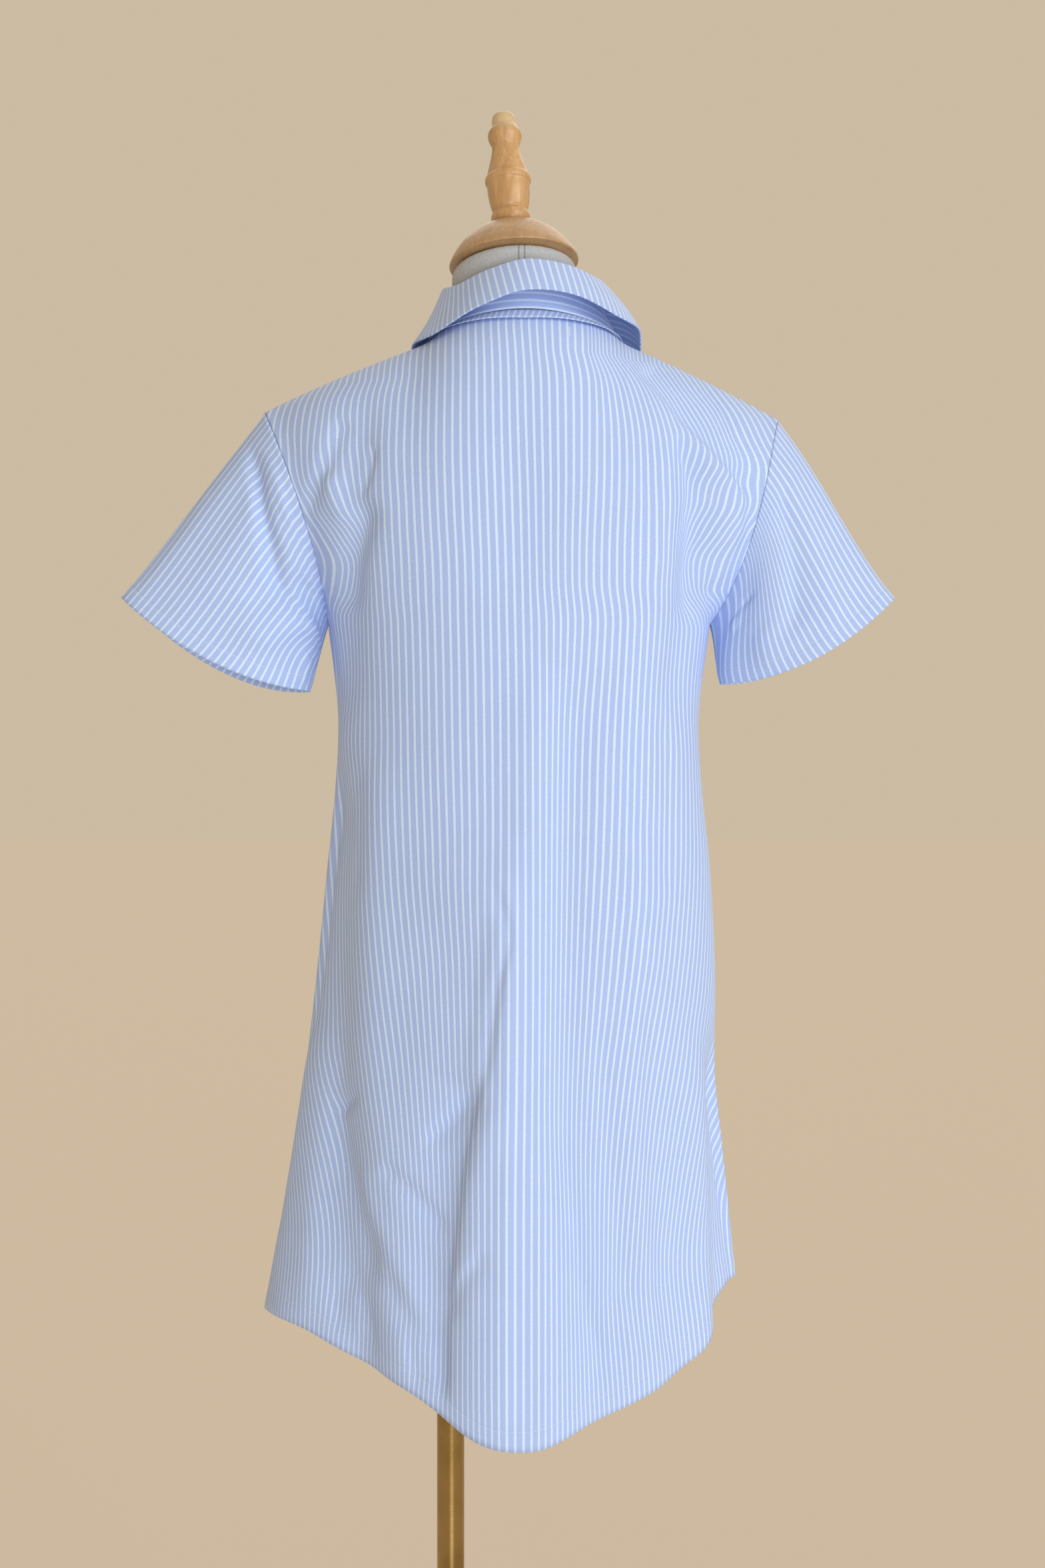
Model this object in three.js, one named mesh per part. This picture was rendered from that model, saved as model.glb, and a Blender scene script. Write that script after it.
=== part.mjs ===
// A short-sleeved, button-through shirt dress in striped cotton, worn by a limbless dress form on a pole
// stand. Millimetres. +Z is up, +Y is the side the dress buttons on, +X is the wearer's right, and the origin
// is where the pole's axis meets the floor. The dress and the form stand off that axis, as the socket is in
// one hip.
import * as THREE from "three";

// The cloth
const CLOTH = 1.2; // one wall of shirting
const FIRM_CLOTH = 1.6; // a collar piece: two layers and their interlining
const SEAM = 0.3; // between two pieces that are sewn together
const HALF_CLOTH = CLOTH / 2;

// The dress, measured from its middle plane and from the floor
const BODY_X = 54; // the dress's middle plane, from the pole's axis
const UNDERARM_Z = 1158;
const SHOULDER = { left: { x: 203, z: 1328 }, right: { x: 209, z: 1322 }, lift: 3 }; // ends of its seams
const NECK = { x: 6, half: 76, back: 76, front: 80, zBack: 1394.5, zSide: 1383, zFront: 1336 }; // its seam
const PLACKET = 28; // width of the button band
const FRONT_END_DEG = 158; // where a front's neckline stops, from the middle of the back
const OVERLAP_STEP = 1.2; // how far each front moves off the shared surface where they overlap

// The form and its stand
const TORSO_BASE_Z = 795;
const NECK_TOP = { x: -3, y: -8, z: 1445, radius: 50, pitchDeg: -10, rollDeg: -4 };
const POLE_RADIUS = 11;
const SOCKET = { radius: 20, height: 30, lip: 4 };
const BASE = { radius: 155, edge: 7, bevel: 2, crown: 15, flange: 26, hub: 12, top: 24 };

// Cross-sections of the dress from the underarm down: half width to each side, depth to the back and to the
// front, and how far the back narrows to a prow in its middle (0 is an ellipse)
const SECTIONS = [
  { z: 500, left: 214, right: 182, back: 140, front: 150, prow: 0.5 },
  { z: 600, left: 204, right: 177, back: 137, front: 146, prow: 0.48 },
  { z: 680, left: 186, right: 170, back: 132, front: 142, prow: 0.44 },
  { z: 740, left: 177, right: 164, back: 128, front: 138, prow: 0.38 },
  { z: 800, left: 170, right: 158, back: 123, front: 134, prow: 0.3 },
  { z: 880, left: 161, right: 158, back: 116, front: 130, prow: 0.18 },
  { z: 960, left: 153, right: 154, back: 109, front: 126, prow: 0.08 },
  { z: 1030, left: 146, right: 147, back: 104, front: 122, prow: 0.02 },
  { z: 1085, left: 144, right: 145, back: 105, front: 120, prow: 0 },
  { z: 1158, left: 152, right: 154, back: 110, front: 118, prow: 0 },
];
const PROW_TIP = 0.22; // rounding of the prow

// The shirt-tail hem: its height at the back and at the front, across the dress
const HEM = [
  { x: -215, back: 612, front: 612 },
  { x: -170, back: 609, front: 604 },
  { x: -127, back: 590, front: 588 },
  { x: -75, back: 571, front: 570 },
  { x: -26, back: 541, front: 562 },
  { x: 10, back: 536, front: 561 },
  { x: 43, back: 546, front: 563 },
  { x: 94, back: 566, front: 575 },
  { x: 132, back: 588, front: 596 },
  { x: 155, back: 610, front: 612 },
  { x: 180, back: 640, front: 640 },
];

// How each column of a panel rises from the underarm to the top seam, from the sleeve (across 0) to the
// middle (across 1). Each column is a curve with two handles: the upper one has its depth from the middle
// plane, its fall from the seam and its move inwards, and the lower one its depth, height and move inwards.
const BACK_RISE = [
  { across: 0, over: 56, fall: 22, overIn: 12, under: 64, up: 56, underIn: 0 },
  { across: 0.12, over: 63, fall: 5, overIn: 3, under: 82, up: 82, underIn: 0 },
  { across: 0.35, over: 70, fall: -1, overIn: 0, under: 101, up: 104, underIn: 0 },
  { across: 0.65, over: 81, fall: -6, overIn: 0, under: 118, up: 120, underIn: 0 },
  { across: 0.85, over: 101, fall: 6, overIn: 0, under: 120, up: 116, underIn: 0 },
  { across: 1, over: 104, fall: 14, overIn: 0, under: 114, up: 112, underIn: 0 },
];
const FRONT_RISE = [
  { across: 0, over: 50, fall: 26, overIn: 16, under: 62, up: 40, underIn: 8 },
  { across: 0.12, over: 56, fall: 8, overIn: 6, under: 80, up: 70, underIn: 4 },
  { across: 0.35, over: 66, fall: 6, overIn: 0, under: 110, up: 84, underIn: 0 },
  { across: 0.65, over: 84, fall: 14, overIn: 0, under: 128, up: 84, underIn: 0 },
  { across: 0.85, over: 103, fall: 23, overIn: 0, under: 122, up: 79, underIn: 0 },
  { across: 1, over: 103, fall: 25, overIn: 4, under: 121, up: 78, underIn: 0 },
];
const ARMHOLE_BELLY = { left: 0, right: 38, share: 0.35 }; // how far a back armhole bulges, and how deep

// The largest folds: a soft line down each panel through three points (x from the middle plane, z from the
// floor), its half width, and how far it stands out (ridge) or goes in (trough, below 0)
const BACK_FOLDS = [
  { name: "left_of_middle_crease", z0: 960, x0: -26, z1: 765, x1: -45, z2: 500, x2: -62, half: 15, deep: -8 },
  { name: "beside_the_crease", z0: 900, x0: -58, z1: 765, x1: -76, z2: 500, x2: -92, half: 20, deep: 3 },
  { name: "right_of_middle_ridge", z0: 1140, x0: 18, z1: 850, x1: 8, z2: 500, x2: 24, half: 20, deep: 3 },
  { name: "right_of_middle_trough", z0: 1140, x0: 46, z1: 850, x1: 36, z2: 500, x2: 62, half: 20, deep: -6 },
  { name: "right_panel_ridge", z0: 1000, x0: 98, z1: 800, x1: 90, z2: 500, x2: 108, half: 20, deep: 4 },
  { name: "left_hip_trough", z0: 1070, x0: -142, z1: 780, x1: -146, z2: 500, x2: -106, half: 20, deep: -9 },
  { name: "left_hip_ridge", z0: 1070, x0: -110, z1: 780, x1: -108, z2: 500, x2: -60, half: 20, deep: 3 },
  { name: "left_side_flare", z0: 860, x0: -172, z1: 700, x1: -184, z2: 500, x2: -172, half: 18, deep: 5 },
  { name: "right_side_ridge", z0: 850, x0: 138, z1: 700, x1: 141, z2: 500, x2: 144, half: 15, deep: 7 },
  { name: "right_side_trough", z0: 850, x0: 156, z1: 700, x1: 161, z2: 500, x2: 166, half: 13, deep: -10 },
  { name: "left_blade", z0: 1345, x0: -116, z1: 1230, x1: -131, z2: 1060, x2: -138, half: 16, deep: -6 },
  { name: "right_blade", z0: 1345, x0: 128, z1: 1225, x1: 137, z2: 1050, x2: 120, half: 16, deep: -6 },
];
const FRONT_FOLDS = [
  { name: "left_bust_trough", z0: 1130, x0: -58, z1: 860, x1: -66, z2: 500, x2: -72, half: 20, deep: -6 },
  { name: "left_bust_ridge", z0: 1120, x0: -96, z1: 830, x1: -104, z2: 500, x2: -118, half: 22, deep: 5 },
  { name: "left_side_trough", z0: 1000, x0: -134, z1: 780, x1: -146, z2: 500, x2: -164, half: 18, deep: -7 },
  { name: "right_bust_ridge", z0: 1120, x0: 64, z1: 860, x1: 60, z2: 500, x2: 66, half: 20, deep: 5 },
  { name: "right_bust_trough", z0: 1130, x0: 102, z1: 830, x1: 98, z2: 500, x2: 108, half: 20, deep: -7 },
  { name: "right_side_flare", z0: 940, x0: 136, z1: 760, x1: 142, z2: 500, x2: 148, half: 18, deep: 5 },
];
const FOLD_FADE = 70; // the length over which a fold starts and ends

// The sleeves: the hem's outer and inner corners, its half depth, and how its underarm edge hangs
const SLEEVES = {
  left: { outerX: 317, outerZ: 1179, innerX: 167, innerZ: 1104, y: -6, depth: 34, backSag: 15, foreSag: 20 },
  right: { outerX: 302, outerZ: 1179, innerX: 163, innerZ: 1110, y: -2, depth: 36, backSag: 17, foreSag: 16 },
};
const SLEEVE_HANG = { top: [0.64, -0.77], underarm: [0.31, -0.95] }; // sideways and up, along the sleeve
const SLEEVE_HANDLE = 0.33; // how much of its length the sleeve keeps to those directions
const ARMHOLE_SIZE = { half: 152, deep: 60 }; // the ellipse that says which way is out at a sleeve's seam
const SLEEVE_SPREAD = [1, 0.8]; // the way the folds go at the top of a sleeve, sideways and up
const FOLD_KEPT = 0.55; // how much of a fold is left at the hem
// Its folds: where each is round the sleeve, its half width as a share, and how far it goes in
const SLEEVE_FOLDS = [
  { round: 0.13, half: 0.035, deep: -5 },
  { round: 0.38, half: 0.05, deep: -4 },
  { round: 0.63, half: 0.045, deep: -4 },
  { round: 0.84, half: 0.04, deep: -4 },
];

// The collar round the neck, by angle from the middle of the back (below 0 is the wearer's left): the
// stand's height and how far it leans in, then the fall's drop from the fold, how far its edge stands out
// from the fold, and how far its middle bows outwards
const COLLAR = [
  { deg: -154, stand: 24, lean: -2, drop: 50, out: 42, bow: 2 },
  { deg: -125, stand: 33, lean: 7, drop: 47, out: 31, bow: 0 },
  { deg: -90, stand: 40, lean: 14, drop: 44, out: 24, bow: -2 },
  { deg: -50, stand: 30, lean: 12, drop: 41, out: 25, bow: -1 },
  { deg: -20, stand: 32, lean: 8, drop: 34, out: 30, bow: 1 },
  { deg: 0, stand: 36, lean: 7, drop: 30, out: 32, bow: 2 },
  { deg: 25, stand: 36, lean: 8, drop: 30, out: 33, bow: 2 },
  { deg: 50, stand: 37, lean: 12, drop: 37, out: 33, bow: 2 },
  { deg: 90, stand: 43, lean: 16, drop: 38, out: 28, bow: 2 },
  { deg: 125, stand: 36, lean: 8, drop: 47, out: 34, bow: 2 },
  { deg: 154, stand: 24, lean: -2, drop: 50, out: 44, bow: 2 },
];
const COLLAR_FOLD_RADIUS = 2.6;
const FOLD_SHARE = 0.22; // of the fall's rows, those that turn over the fold
const BINDING = { start: 1.6, width: 6.5 }; // the narrow band over the seam under the collar

// How finely each piece is divided, and which of a panel's columns are shoulder seam and button band
const GRID = {
  back: 44, front: 22, upperRows: 8, lowerRows: 13, shoulder: 14, band: 2,
  sleeveRound: 32, sleeveLong: 7, collarLong: 30, collarFall: 7, stand: 2, torsoRound: 32,
};
const ROUND = { knob: 20, cap: 28, pole: 24, socket: 28, base: 36 }; // sides of the turned pieces
const NECK_SHARE = GRID.shoulder / GRID.front; // of a panel's width, from the sleeve to the neck
const PLACKET_SHARE = GRID.band / GRID.front; // of a front's width, at its edge

// Buttons down the band, from the first closed one
const BUTTON = { radius: 5.75, thick: 2.6, first: 1236, pitch: 94, count: 7, segments: 12 };
// A button's outline, as shares of its thickness and radius
const BUTTON_OUTLINE = [
  { z: 0, r: 0.7 }, { z: 0.35, r: 1 }, { z: 0.8, r: 0.96 }, { z: 1, r: 0.78 }, { z: 0.72, r: 0.6 },
];

// The form's cross-sections: half width, depth to the back and to the front
const TORSO = [
  { z: TORSO_BASE_Z, wide: 116, back: 84, front: 78 },
  { z: 850, wide: 132, back: 96, front: 84 },
  { z: 915, wide: 136, back: 94, front: 88 },
  { z: 985, wide: 122, back: 82, front: 86 },
  { z: 1050, wide: 107, back: 75, front: 82 },
  { z: 1105, wide: 114, back: 82, front: 94 },
  { z: 1160, wide: 127, back: 90, front: 103 },
  { z: 1210, wide: 139, back: 92, front: 93 },
  { z: 1255, wide: 153, back: 88, front: 76 },
  { z: 1292, wide: 165, back: 76, front: 60 },
  { z: 1316, wide: 170, back: 62, front: 48 },
];
const TORSO_SHOULDER_STEPS = [1334, 1348, 1361, 1371]; // rings under the shoulder seams
const SHOULDER_DEPTH = { back: 50, frontLow: 36, frontHigh: 29 }; // of those rings, lowest to highest
const REST_GAP = 0.5; // more than a seam's gap, between the form's shoulders and the cloth on them
const SHOULDER_PINCH = 0.45; // how much thinner a shoulder ring is at its ends than an ellipse

// The neck's rings: how far below its top, how much wider than it, and the share of its tilt
const NECK_RINGS = [
  { below: 66, wider: 12, turn: 0 },
  { below: 54, wider: 7, turn: 0.1 },
  { below: 40, wider: 2.5, turn: 0.4 },
  { below: 26, wider: 0.5, turn: 0.7 },
  { below: 12, wider: 0, turn: 1 },
  { below: SEAM, wider: 0.5, turn: 1 },
];

// The turned knob on the neck cap: height above the cap and radius
const FINIAL = [
  { z: 0, r: 13.5 }, { z: 2.5, r: 15 }, { z: 6, r: 15.8 }, { z: 9.5, r: 15 }, { z: 12, r: 13.6 },
  { z: 14, r: 14.6 }, { z: 19, r: 15.9 }, { z: 27, r: 17 }, { z: 34.5, r: 17.2 }, { z: 36.5, r: 18.4 },
  { z: 40, r: 18.4 }, { z: 42.5, r: 16.8 }, { z: 47, r: 15.6 }, { z: 54, r: 13.6 }, { z: 61, r: 11.8 },
  { z: 67, r: 11 }, { z: 70, r: 11.9 }, { z: 75, r: 13.6 }, { z: 79.5, r: 13.3 }, { z: 83.5, r: 11 },
  { z: 86, r: 9.9 }, { z: 91, r: 9.5 }, { z: 94.5, r: 8.2 }, { z: 96.5, r: 5.5 },
];
// The cap on the neck: height above its seat and radius
const CAP = [
  { z: 0, r: 52 }, { z: 3, r: 53.5 }, { z: 7, r: 53 }, { z: 15, r: 48 }, { z: 22, r: 40 }, { z: 28, r: 30 },
  { z: 32, r: 20 }, { z: 33.5, r: 14 },
];

// Small maths
const radians = THREE.MathUtils.degToRad;
const mix = THREE.MathUtils.lerp;
const ease = (t) => THREE.MathUtils.smoothstep(t, 0, 1);
const bump = (t) => Math.exp(-t * t);
const point = (x, y, z) => new THREE.Vector3(x, y, z);

// One column of a table at any key between its rows, on a smooth curve through the rows.
function read(table, key, at, column) {
  const last = table.length - 1;
  const x = THREE.MathUtils.clamp(at, table[0][key], table[last][key]);
  let i = 0;
  while (i < last - 1 && x > table[i + 1][key]) {
    i += 1;
  }
  const slope = (j) => {
    const low = Math.max(j - 1, 0);
    const high = Math.min(j + 1, last);
    return (table[high][column] - table[low][column]) / (table[high][key] - table[low][key]);
  };
  const span = table[i + 1][key] - table[i][key];
  const t = (x - table[i][key]) / span;
  const t2 = t * t;
  const t3 = t2 * t;
  return (2 * t3 - 3 * t2 + 1) * table[i][column] + (t3 - 2 * t2 + t) * span * slope(i)
    + (3 * t2 - 2 * t3) * table[i + 1][column] + (t3 - t2) * span * slope(i + 1);
}

// A point of a cubic curve through its two ends, drawn towards its two handles.
function bezier(p0, p1, p2, p3, t) {
  const s = 1 - t;
  return point(0, 0, 0)
    .addScaledVector(p0, s * s * s)
    .addScaledVector(p1, 3 * s * s * t)
    .addScaledVector(p2, 3 * s * t * t)
    .addScaledVector(p3, t * t * t);
}

// The x of a fold's line at a height: a curve through the row's three points.
function foldLine(fold, z) {
  const { z0, z1, z2, x0, x1, x2 } = fold;
  const at = THREE.MathUtils.clamp(z, z2, z0);
  return x0 * ((at - z1) * (at - z2)) / ((z0 - z1) * (z0 - z2))
    + x1 * ((at - z0) * (at - z2)) / ((z1 - z0) * (z1 - z2))
    + x2 * ((at - z0) * (at - z1)) / ((z2 - z0) * (z2 - z1));
}

// How far the folds move the cloth out at a point of a panel.
function foldsAt(folds, x, z) {
  return folds.reduce((sum, fold) => {
    const strength = ease((fold.z0 - z) / FOLD_FADE) * ease((z - fold.z2) / FOLD_FADE);
    return sum + fold.deep * strength * bump((x - foldLine(fold, z)) / fold.half);
  }, 0);
}

// The dress's body below the underarm, as rings. turn runs from -90 degrees at the left side seam to 90 at
// the right one, through the middle of the back (facing -1) or of the front (facing 1).
function ring(facing, turn, z) {
  const across = Math.sin(turn);
  const half = read(SECTIONS, "z", z, across < 0 ? "left" : "right");
  const depth = read(SECTIONS, "z", z, facing < 0 ? "back" : "front");
  const prow = facing < 0 ? read(SECTIONS, "z", z, "prow") : 0;
  const tip = (Math.hypot(across, PROW_TIP) - PROW_TIP) / (Math.hypot(1, PROW_TIP) - PROW_TIP);
  const round = Math.cos(turn);
  return point(half * across, facing * depth * ((1 - prow) * round + prow * (1 - tip)), z);
}

const NECK_FRONT_POWER = 1.5; // how late the neckline falls to the front

// The seam under the collar. deg runs from the middle of the back, below 0 to the wearer's left.
function neckline(deg) {
  const a = radians(deg);
  const c = Math.cos(a);
  const depth = c > 0 ? NECK.back : NECK.front;
  const z = c > 0
    ? mix(NECK.zSide, NECK.zBack, c ** 2)
    : mix(NECK.zSide, NECK.zFront, (-c) ** NECK_FRONT_POWER);
  return point(NECK.x + NECK.half * Math.sin(a), -depth * c, z);
}

// The height of the hem under a point of a ring.
const hemHeight = (facing, x) => read(HEM, "x", x, facing < 0 ? "back" : "front");

// A column of a panel above the underarm, between its two handles. At the panel's edge it is the armhole.
function rise(table, facing, side, across, top, foot, t) {
  const value = (column) => read(table, "across", across, column);
  const belly = facing < 0 && side > 0 ? ARMHOLE_BELLY.right : ARMHOLE_BELLY.left;
  const underIn = value("underIn") - belly * (1 - ease(across / ARMHOLE_BELLY.share));
  const over = point(top.x - side * value("overIn"), facing * value("over"), top.z - value("fall"));
  const under = point(foot.x - side * underIn, facing * value("under"), foot.z + value("up"));
  return bezier(top, over, under, foot, t);
}

const OUT_BIAS = 0.02; // turns that direction a little to the panel's own side

// The direction in which a panel's folds move it: straight out from the dress's middle.
function outwards(facing, p) {
  return point(p.x / SECTIONS[0].left, p.y / SECTIONS[0].back + facing * OUT_BIAS, 0).normalize();
}

// The side's number: the wearer's left is at negative x.
const SIDE = { left: -1, right: 1 };

const NECK_SPREAD = 0.75; // below 1 the neckline's points crowd less at its middle

// The top seam of a panel, from the shoulder point (across 0) over the shoulder to where its neckline ends.
function topSeam(facing, side, across, endDeg) {
  if (across < NECK_SHARE) {
    const tip = side < 0 ? SHOULDER.left : SHOULDER.right;
    const neck = neckline(side * 90);
    const t = across / NECK_SHARE;
    const z = mix(tip.z, neck.z, t) + SHOULDER.lift * 4 * t * (1 - t);
    return point(mix(side * tip.x, neck.x, t), facing * SEAM / 2, z);
  }
  const t = Math.max(0, (across - NECK_SHARE) / (1 - NECK_SHARE));
  const p = neckline(side * mix(90, endDeg, Math.pow(t, NECK_SPREAD)));
  return t < 1e-6 ? p.setY(facing * SEAM / 2) : p;
}

// The back panel. u runs from the left edge (0) to the right (1), and v from the top seam (0) through the
// underarm (UPPER) to the hem (1).
const UPPER = GRID.upperRows / (GRID.upperRows + GRID.lowerRows);
const HEM_RING = 610; // the ring that says how far across a column the hem is
const SEAM_TURN = SEAM / 2 / SECTIONS[9].back; // the turn that half a seam's gap takes up at the side
const SIDE_TURN = Math.PI / 2 - SEAM_TURN;
const QUIET = { top: 4, side: 12 }; // one over the share of a panel over which its folds start at each seam
const downShare = (v) => (v - UPPER) / (1 - UPPER); // of the way from the underarm to the hem

function backPoint(u, v) {
  const side = u < 0.5 ? -1 : 1;
  const across = 1 - Math.abs(2 * u - 1);
  const turn = side * mix(SIDE_TURN, 0, across);
  const top = topSeam(-1, side, across, 0);
  const hem = hemHeight(-1, ring(-1, turn, HEM_RING).x);
  const p = v < UPPER
    ? rise(BACK_RISE, -1, side, across, top, ring(-1, turn, UNDERARM_Z), v / UPPER)
    : ring(-1, turn, mix(UNDERARM_Z, hem, downShare(v)));
  const quiet = ease(v / UPPER * QUIET.top) * ease(across * QUIET.side);
  return p.addScaledVector(outwards(-1, p), quiet * foldsAt(BACK_FOLDS, p.x, p.z));
}

const BAND_RING = 880; // the ring on which the button band has its own width
const LAP = { reach: 1.6, rows: 1.5 }; // over how many band widths, and how much of the chest, a front laps

// A front. u runs from the side (0) to the front edge (1). Past the middle of the dress the two fronts
// overlap, the wearer's right one outside.
function frontPoint(sideName, u, v) {
  const side = SIDE[sideName];
  const half = (z) => read(SECTIONS, "z", z, side < 0 ? "left" : "right");
  const band = Math.asin(PLACKET / 2 / half(BAND_RING));
  const share = 1 - PLACKET_SHARE;
  const turn = u < share ? mix(SIDE_TURN, band, u / share) : mix(band, -band, (u - share) / PLACKET_SHARE);
  const place = (z) => {
    const p = ring(1, side * turn, z);
    return u < share ? p : p.setX(p.x * half(BAND_RING) / half(z)); // one width down to the hem
  };
  const top = topSeam(1, side, u, FRONT_END_DEG);
  const hem = hemHeight(1, place(HEM_RING).x);
  const p = v < UPPER
    ? rise(FRONT_RISE, 1, side, u, top, place(UNDERARM_Z), v / UPPER)
    : place(mix(UNDERARM_Z, hem, downShare(v)));
  const quiet = ease(v / UPPER * QUIET.top) * ease(u * QUIET.side);
  const lap = ease(LAP.reach - side * p.x / PLACKET) * ease(v / UPPER * LAP.rows);
  const out = quiet * foldsAt(FRONT_FOLDS, p.x, p.z) + side * OVERLAP_STEP * lap;
  return p.addScaledVector(outwards(1, p), out);
}

// One closed wall of cloth. place(u, v) is its middle surface; u runs to the right of v as seen from outside,
// and round means that u closes on itself.
function wallGeometry(place, columns, rows, thick, round = false, offset = 0) {
  const across = round ? columns : columns + 1;
  const down = rows + 1;
  const spots = Array.from({ length: across * down }, (_, k) => [k % across, Math.floor(k / across)]);
  const grid = spots.map(([i, j]) => place(i / columns, j / rows));
  const column = (i) => (round ? (i + columns) % columns : THREE.MathUtils.clamp(i, 0, columns));
  const at = (i, j) => grid[THREE.MathUtils.clamp(j, 0, rows) * across + column(i)];
  const positions = [];
  const addLayer = (away) => {
    spots.forEach(([i, j]) => {
      const along = at(i + 1, j).clone().sub(at(i - 1, j));
      const normal = at(i, j + 1).clone().sub(at(i, j - 1)).cross(along);
      // At the side and shoulder seams the edge is square to the plane between front and back.
      if (Math.abs(at(i, j).y) < SEAM && !round) normal.setY(0);
      positions.push(...at(i, j).clone().addScaledVector(normal.normalize(), offset + away).toArray());
    });
  };
  addLayer(thick / 2);
  addLayer(-thick / 2);
  const layer = down * across;
  const outer = (i, j) => j * across + (round ? i % columns : i);
  const inner = (i, j) => layer + outer(i, j);
  const faces = [];
  const quad = (a, b, c, d) => faces.push(a, b, c, a, c, d);
  for (let j = 0; j < rows; j += 1) {
    for (let i = 0; i < columns; i += 1) {
      quad(outer(i, j), outer(i, j + 1), outer(i + 1, j + 1), outer(i + 1, j));
      quad(inner(i, j), inner(i + 1, j), inner(i + 1, j + 1), inner(i, j + 1));
    }
  }
  for (let i = 0; i < columns; i += 1) {
    quad(outer(i, 0), outer(i + 1, 0), inner(i + 1, 0), inner(i, 0));
    quad(outer(i, rows), inner(i, rows), inner(i + 1, rows), outer(i + 1, rows));
  }
  for (let j = 0; j < rows && !round; j += 1) {
    quad(outer(0, j), inner(0, j), inner(0, j + 1), outer(0, j + 1));
    quad(outer(columns, j), outer(columns, j + 1), inner(columns, j + 1), inner(columns, j));
  }
  const geometry = new THREE.BufferGeometry();
  geometry.setAttribute("position", new THREE.Float32BufferAttribute(positions, 3));
  geometry.setIndex(faces);
  geometry.computeVertexNormals();
  return geometry;
}

// A solid through closed rings, flat at both ends.
function loftGeometry(rings) {
  const count = rings[0].length;
  const positions = rings.flatMap((r) => r.flatMap((p) => p.toArray()));
  const centre = (r) => r.reduce((sum, p) => sum.add(p), point(0, 0, 0)).divideScalar(count);
  positions.push(...centre(rings[0]).toArray(), ...centre(rings[rings.length - 1]).toArray());
  const low = rings.length * count;
  const faces = [];
  rings.slice(1).forEach((_, j) => {
    for (let i = 0; i < count; i += 1) {
      const a = j * count + i;
      const b = j * count + ((i + 1) % count);
      faces.push(a, b, b + count, a, b + count, a + count);
    }
  });
  for (let i = 0; i < count; i += 1) {
    const next = (i + 1) % count;
    const top = (rings.length - 1) * count;
    faces.push(low, next, i, low + 1, top + i, top + next);
  }
  const geometry = new THREE.BufferGeometry();
  geometry.setAttribute("position", new THREE.Float32BufferAttribute(positions, 3));
  geometry.setIndex(faces);
  geometry.computeVertexNormals();
  return geometry;
}

// A turned solid whose axis is +Z, from its outline of heights and radii.
function turned(outline, segments) {
  const profile = [
    new THREE.Vector2(0, outline[0].z),
    ...outline.map((row) => new THREE.Vector2(row.r, row.z)),
    new THREE.Vector2(0, outline[outline.length - 1].z),
  ];
  return new THREE.LatheGeometry(profile, segments).rotateX(Math.PI / 2);
}

const finish = (color, roughness, metalness = 0) => (
  new THREE.MeshStandardMaterial({ color, roughness, metalness })
);
const MATERIALS = {
  shirting: finish("#b3c2e6", 0.85),
  button: finish("#e9edf4", 0.35),
  cover: finish("#b5aea6", 0.9),
  wood: finish("#b98550", 0.45),
  brass: finish("#a07c3a", 0.3, 0.9),
};

function piece(name, geometry, material) {
  const mesh = new THREE.Mesh(geometry, material);
  mesh.name = name;
  return mesh;
}

// The edge of the two panels where a sleeve is set in. round runs from the shoulder over the back to the
// underarm (0.5) and up the front, along the panels' own straight edges.
function armhole(sideName, round) {
  const side = SIDE[sideName];
  const facing = round <= 0.5 ? -1 : 1;
  const table = facing < 0 ? BACK_RISE : FRONT_RISE;
  const row = (round <= 0.5 ? round * 2 : (1 - round) * 2) * GRID.upperRows;
  const top = topSeam(facing, side, 0, 0);
  const foot = ring(facing, side * Math.PI / 2, UNDERARM_Z);
  const edge = (r) => rise(table, facing, side, 0, top, foot, r / GRID.upperRows);
  return edge(Math.floor(row)).lerp(edge(Math.ceil(row)), row - Math.floor(row));
}

// A sleeve: a tube from the armhole (v 0) to its hem (v 1).
function sleevePoint(sideName, u, v) {
  const side = SIDE[sideName];
  const round = side < 0 ? u : 1 - u;
  const hem = SLEEVES[sideName];
  const turn = round * 2 * Math.PI;
  const topShare = ease((Math.cos(turn) + 1) / 2);
  const direction = ([sideways, up]) => point(side * sideways, 0, up);
  const along = direction(SLEEVE_HANG.underarm).lerp(direction(SLEEVE_HANG.top), topShare).normalize();
  const middle = point(side * (hem.outerX + hem.innerX) / 2, hem.y, (hem.outerZ + hem.innerZ) / 2);
  const toOuter = point(side * (hem.outerX - hem.innerX) / 2, 0, (hem.outerZ - hem.innerZ) / 2);
  const sag = Math.sin(turn) ** 2 * (round <= 0.5 ? hem.backSag : hem.foreSag);
  const drop = point(0, -hem.depth * Math.sin(turn), -sag);
  const foot = middle.clone().addScaledVector(toOuter, Math.cos(turn)).add(drop);
  const start = armhole(sideName, round);
  const off = point(start.x / ARMHOLE_SIZE.half, start.y / ARMHOLE_SIZE.deep, 0).normalize();
  start.addScaledVector(off, mix(CLOTH, HALF_CLOTH, topShare) + SEAM);
  const length = start.distanceTo(foot);
  const over = start.clone().addScaledVector(along, length * SLEEVE_HANDLE);
  const under = foot.clone().addScaledVector(along, -length * SLEEVE_HANDLE);
  const p = bezier(start, over, under, foot, v);
  const level = point(0, Math.sign(-Math.sin(turn)), 0);
  const spread = level.lerp(direction(SLEEVE_SPREAD), topShare).normalize();
  const fold = SLEEVE_FOLDS.reduce((sum, f) => sum + f.deep * bump((round - f.round) / f.half), 0);
  return p.addScaledVector(spread, fold * ease(v * 3) * mix(1, FOLD_KEPT, v));
}

// The collar. share runs from the left front end (0) round the back to the right one (1).
const collarDeg = (share) => mix(COLLAR[0].deg, COLLAR[COLLAR.length - 1].deg, share);

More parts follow.
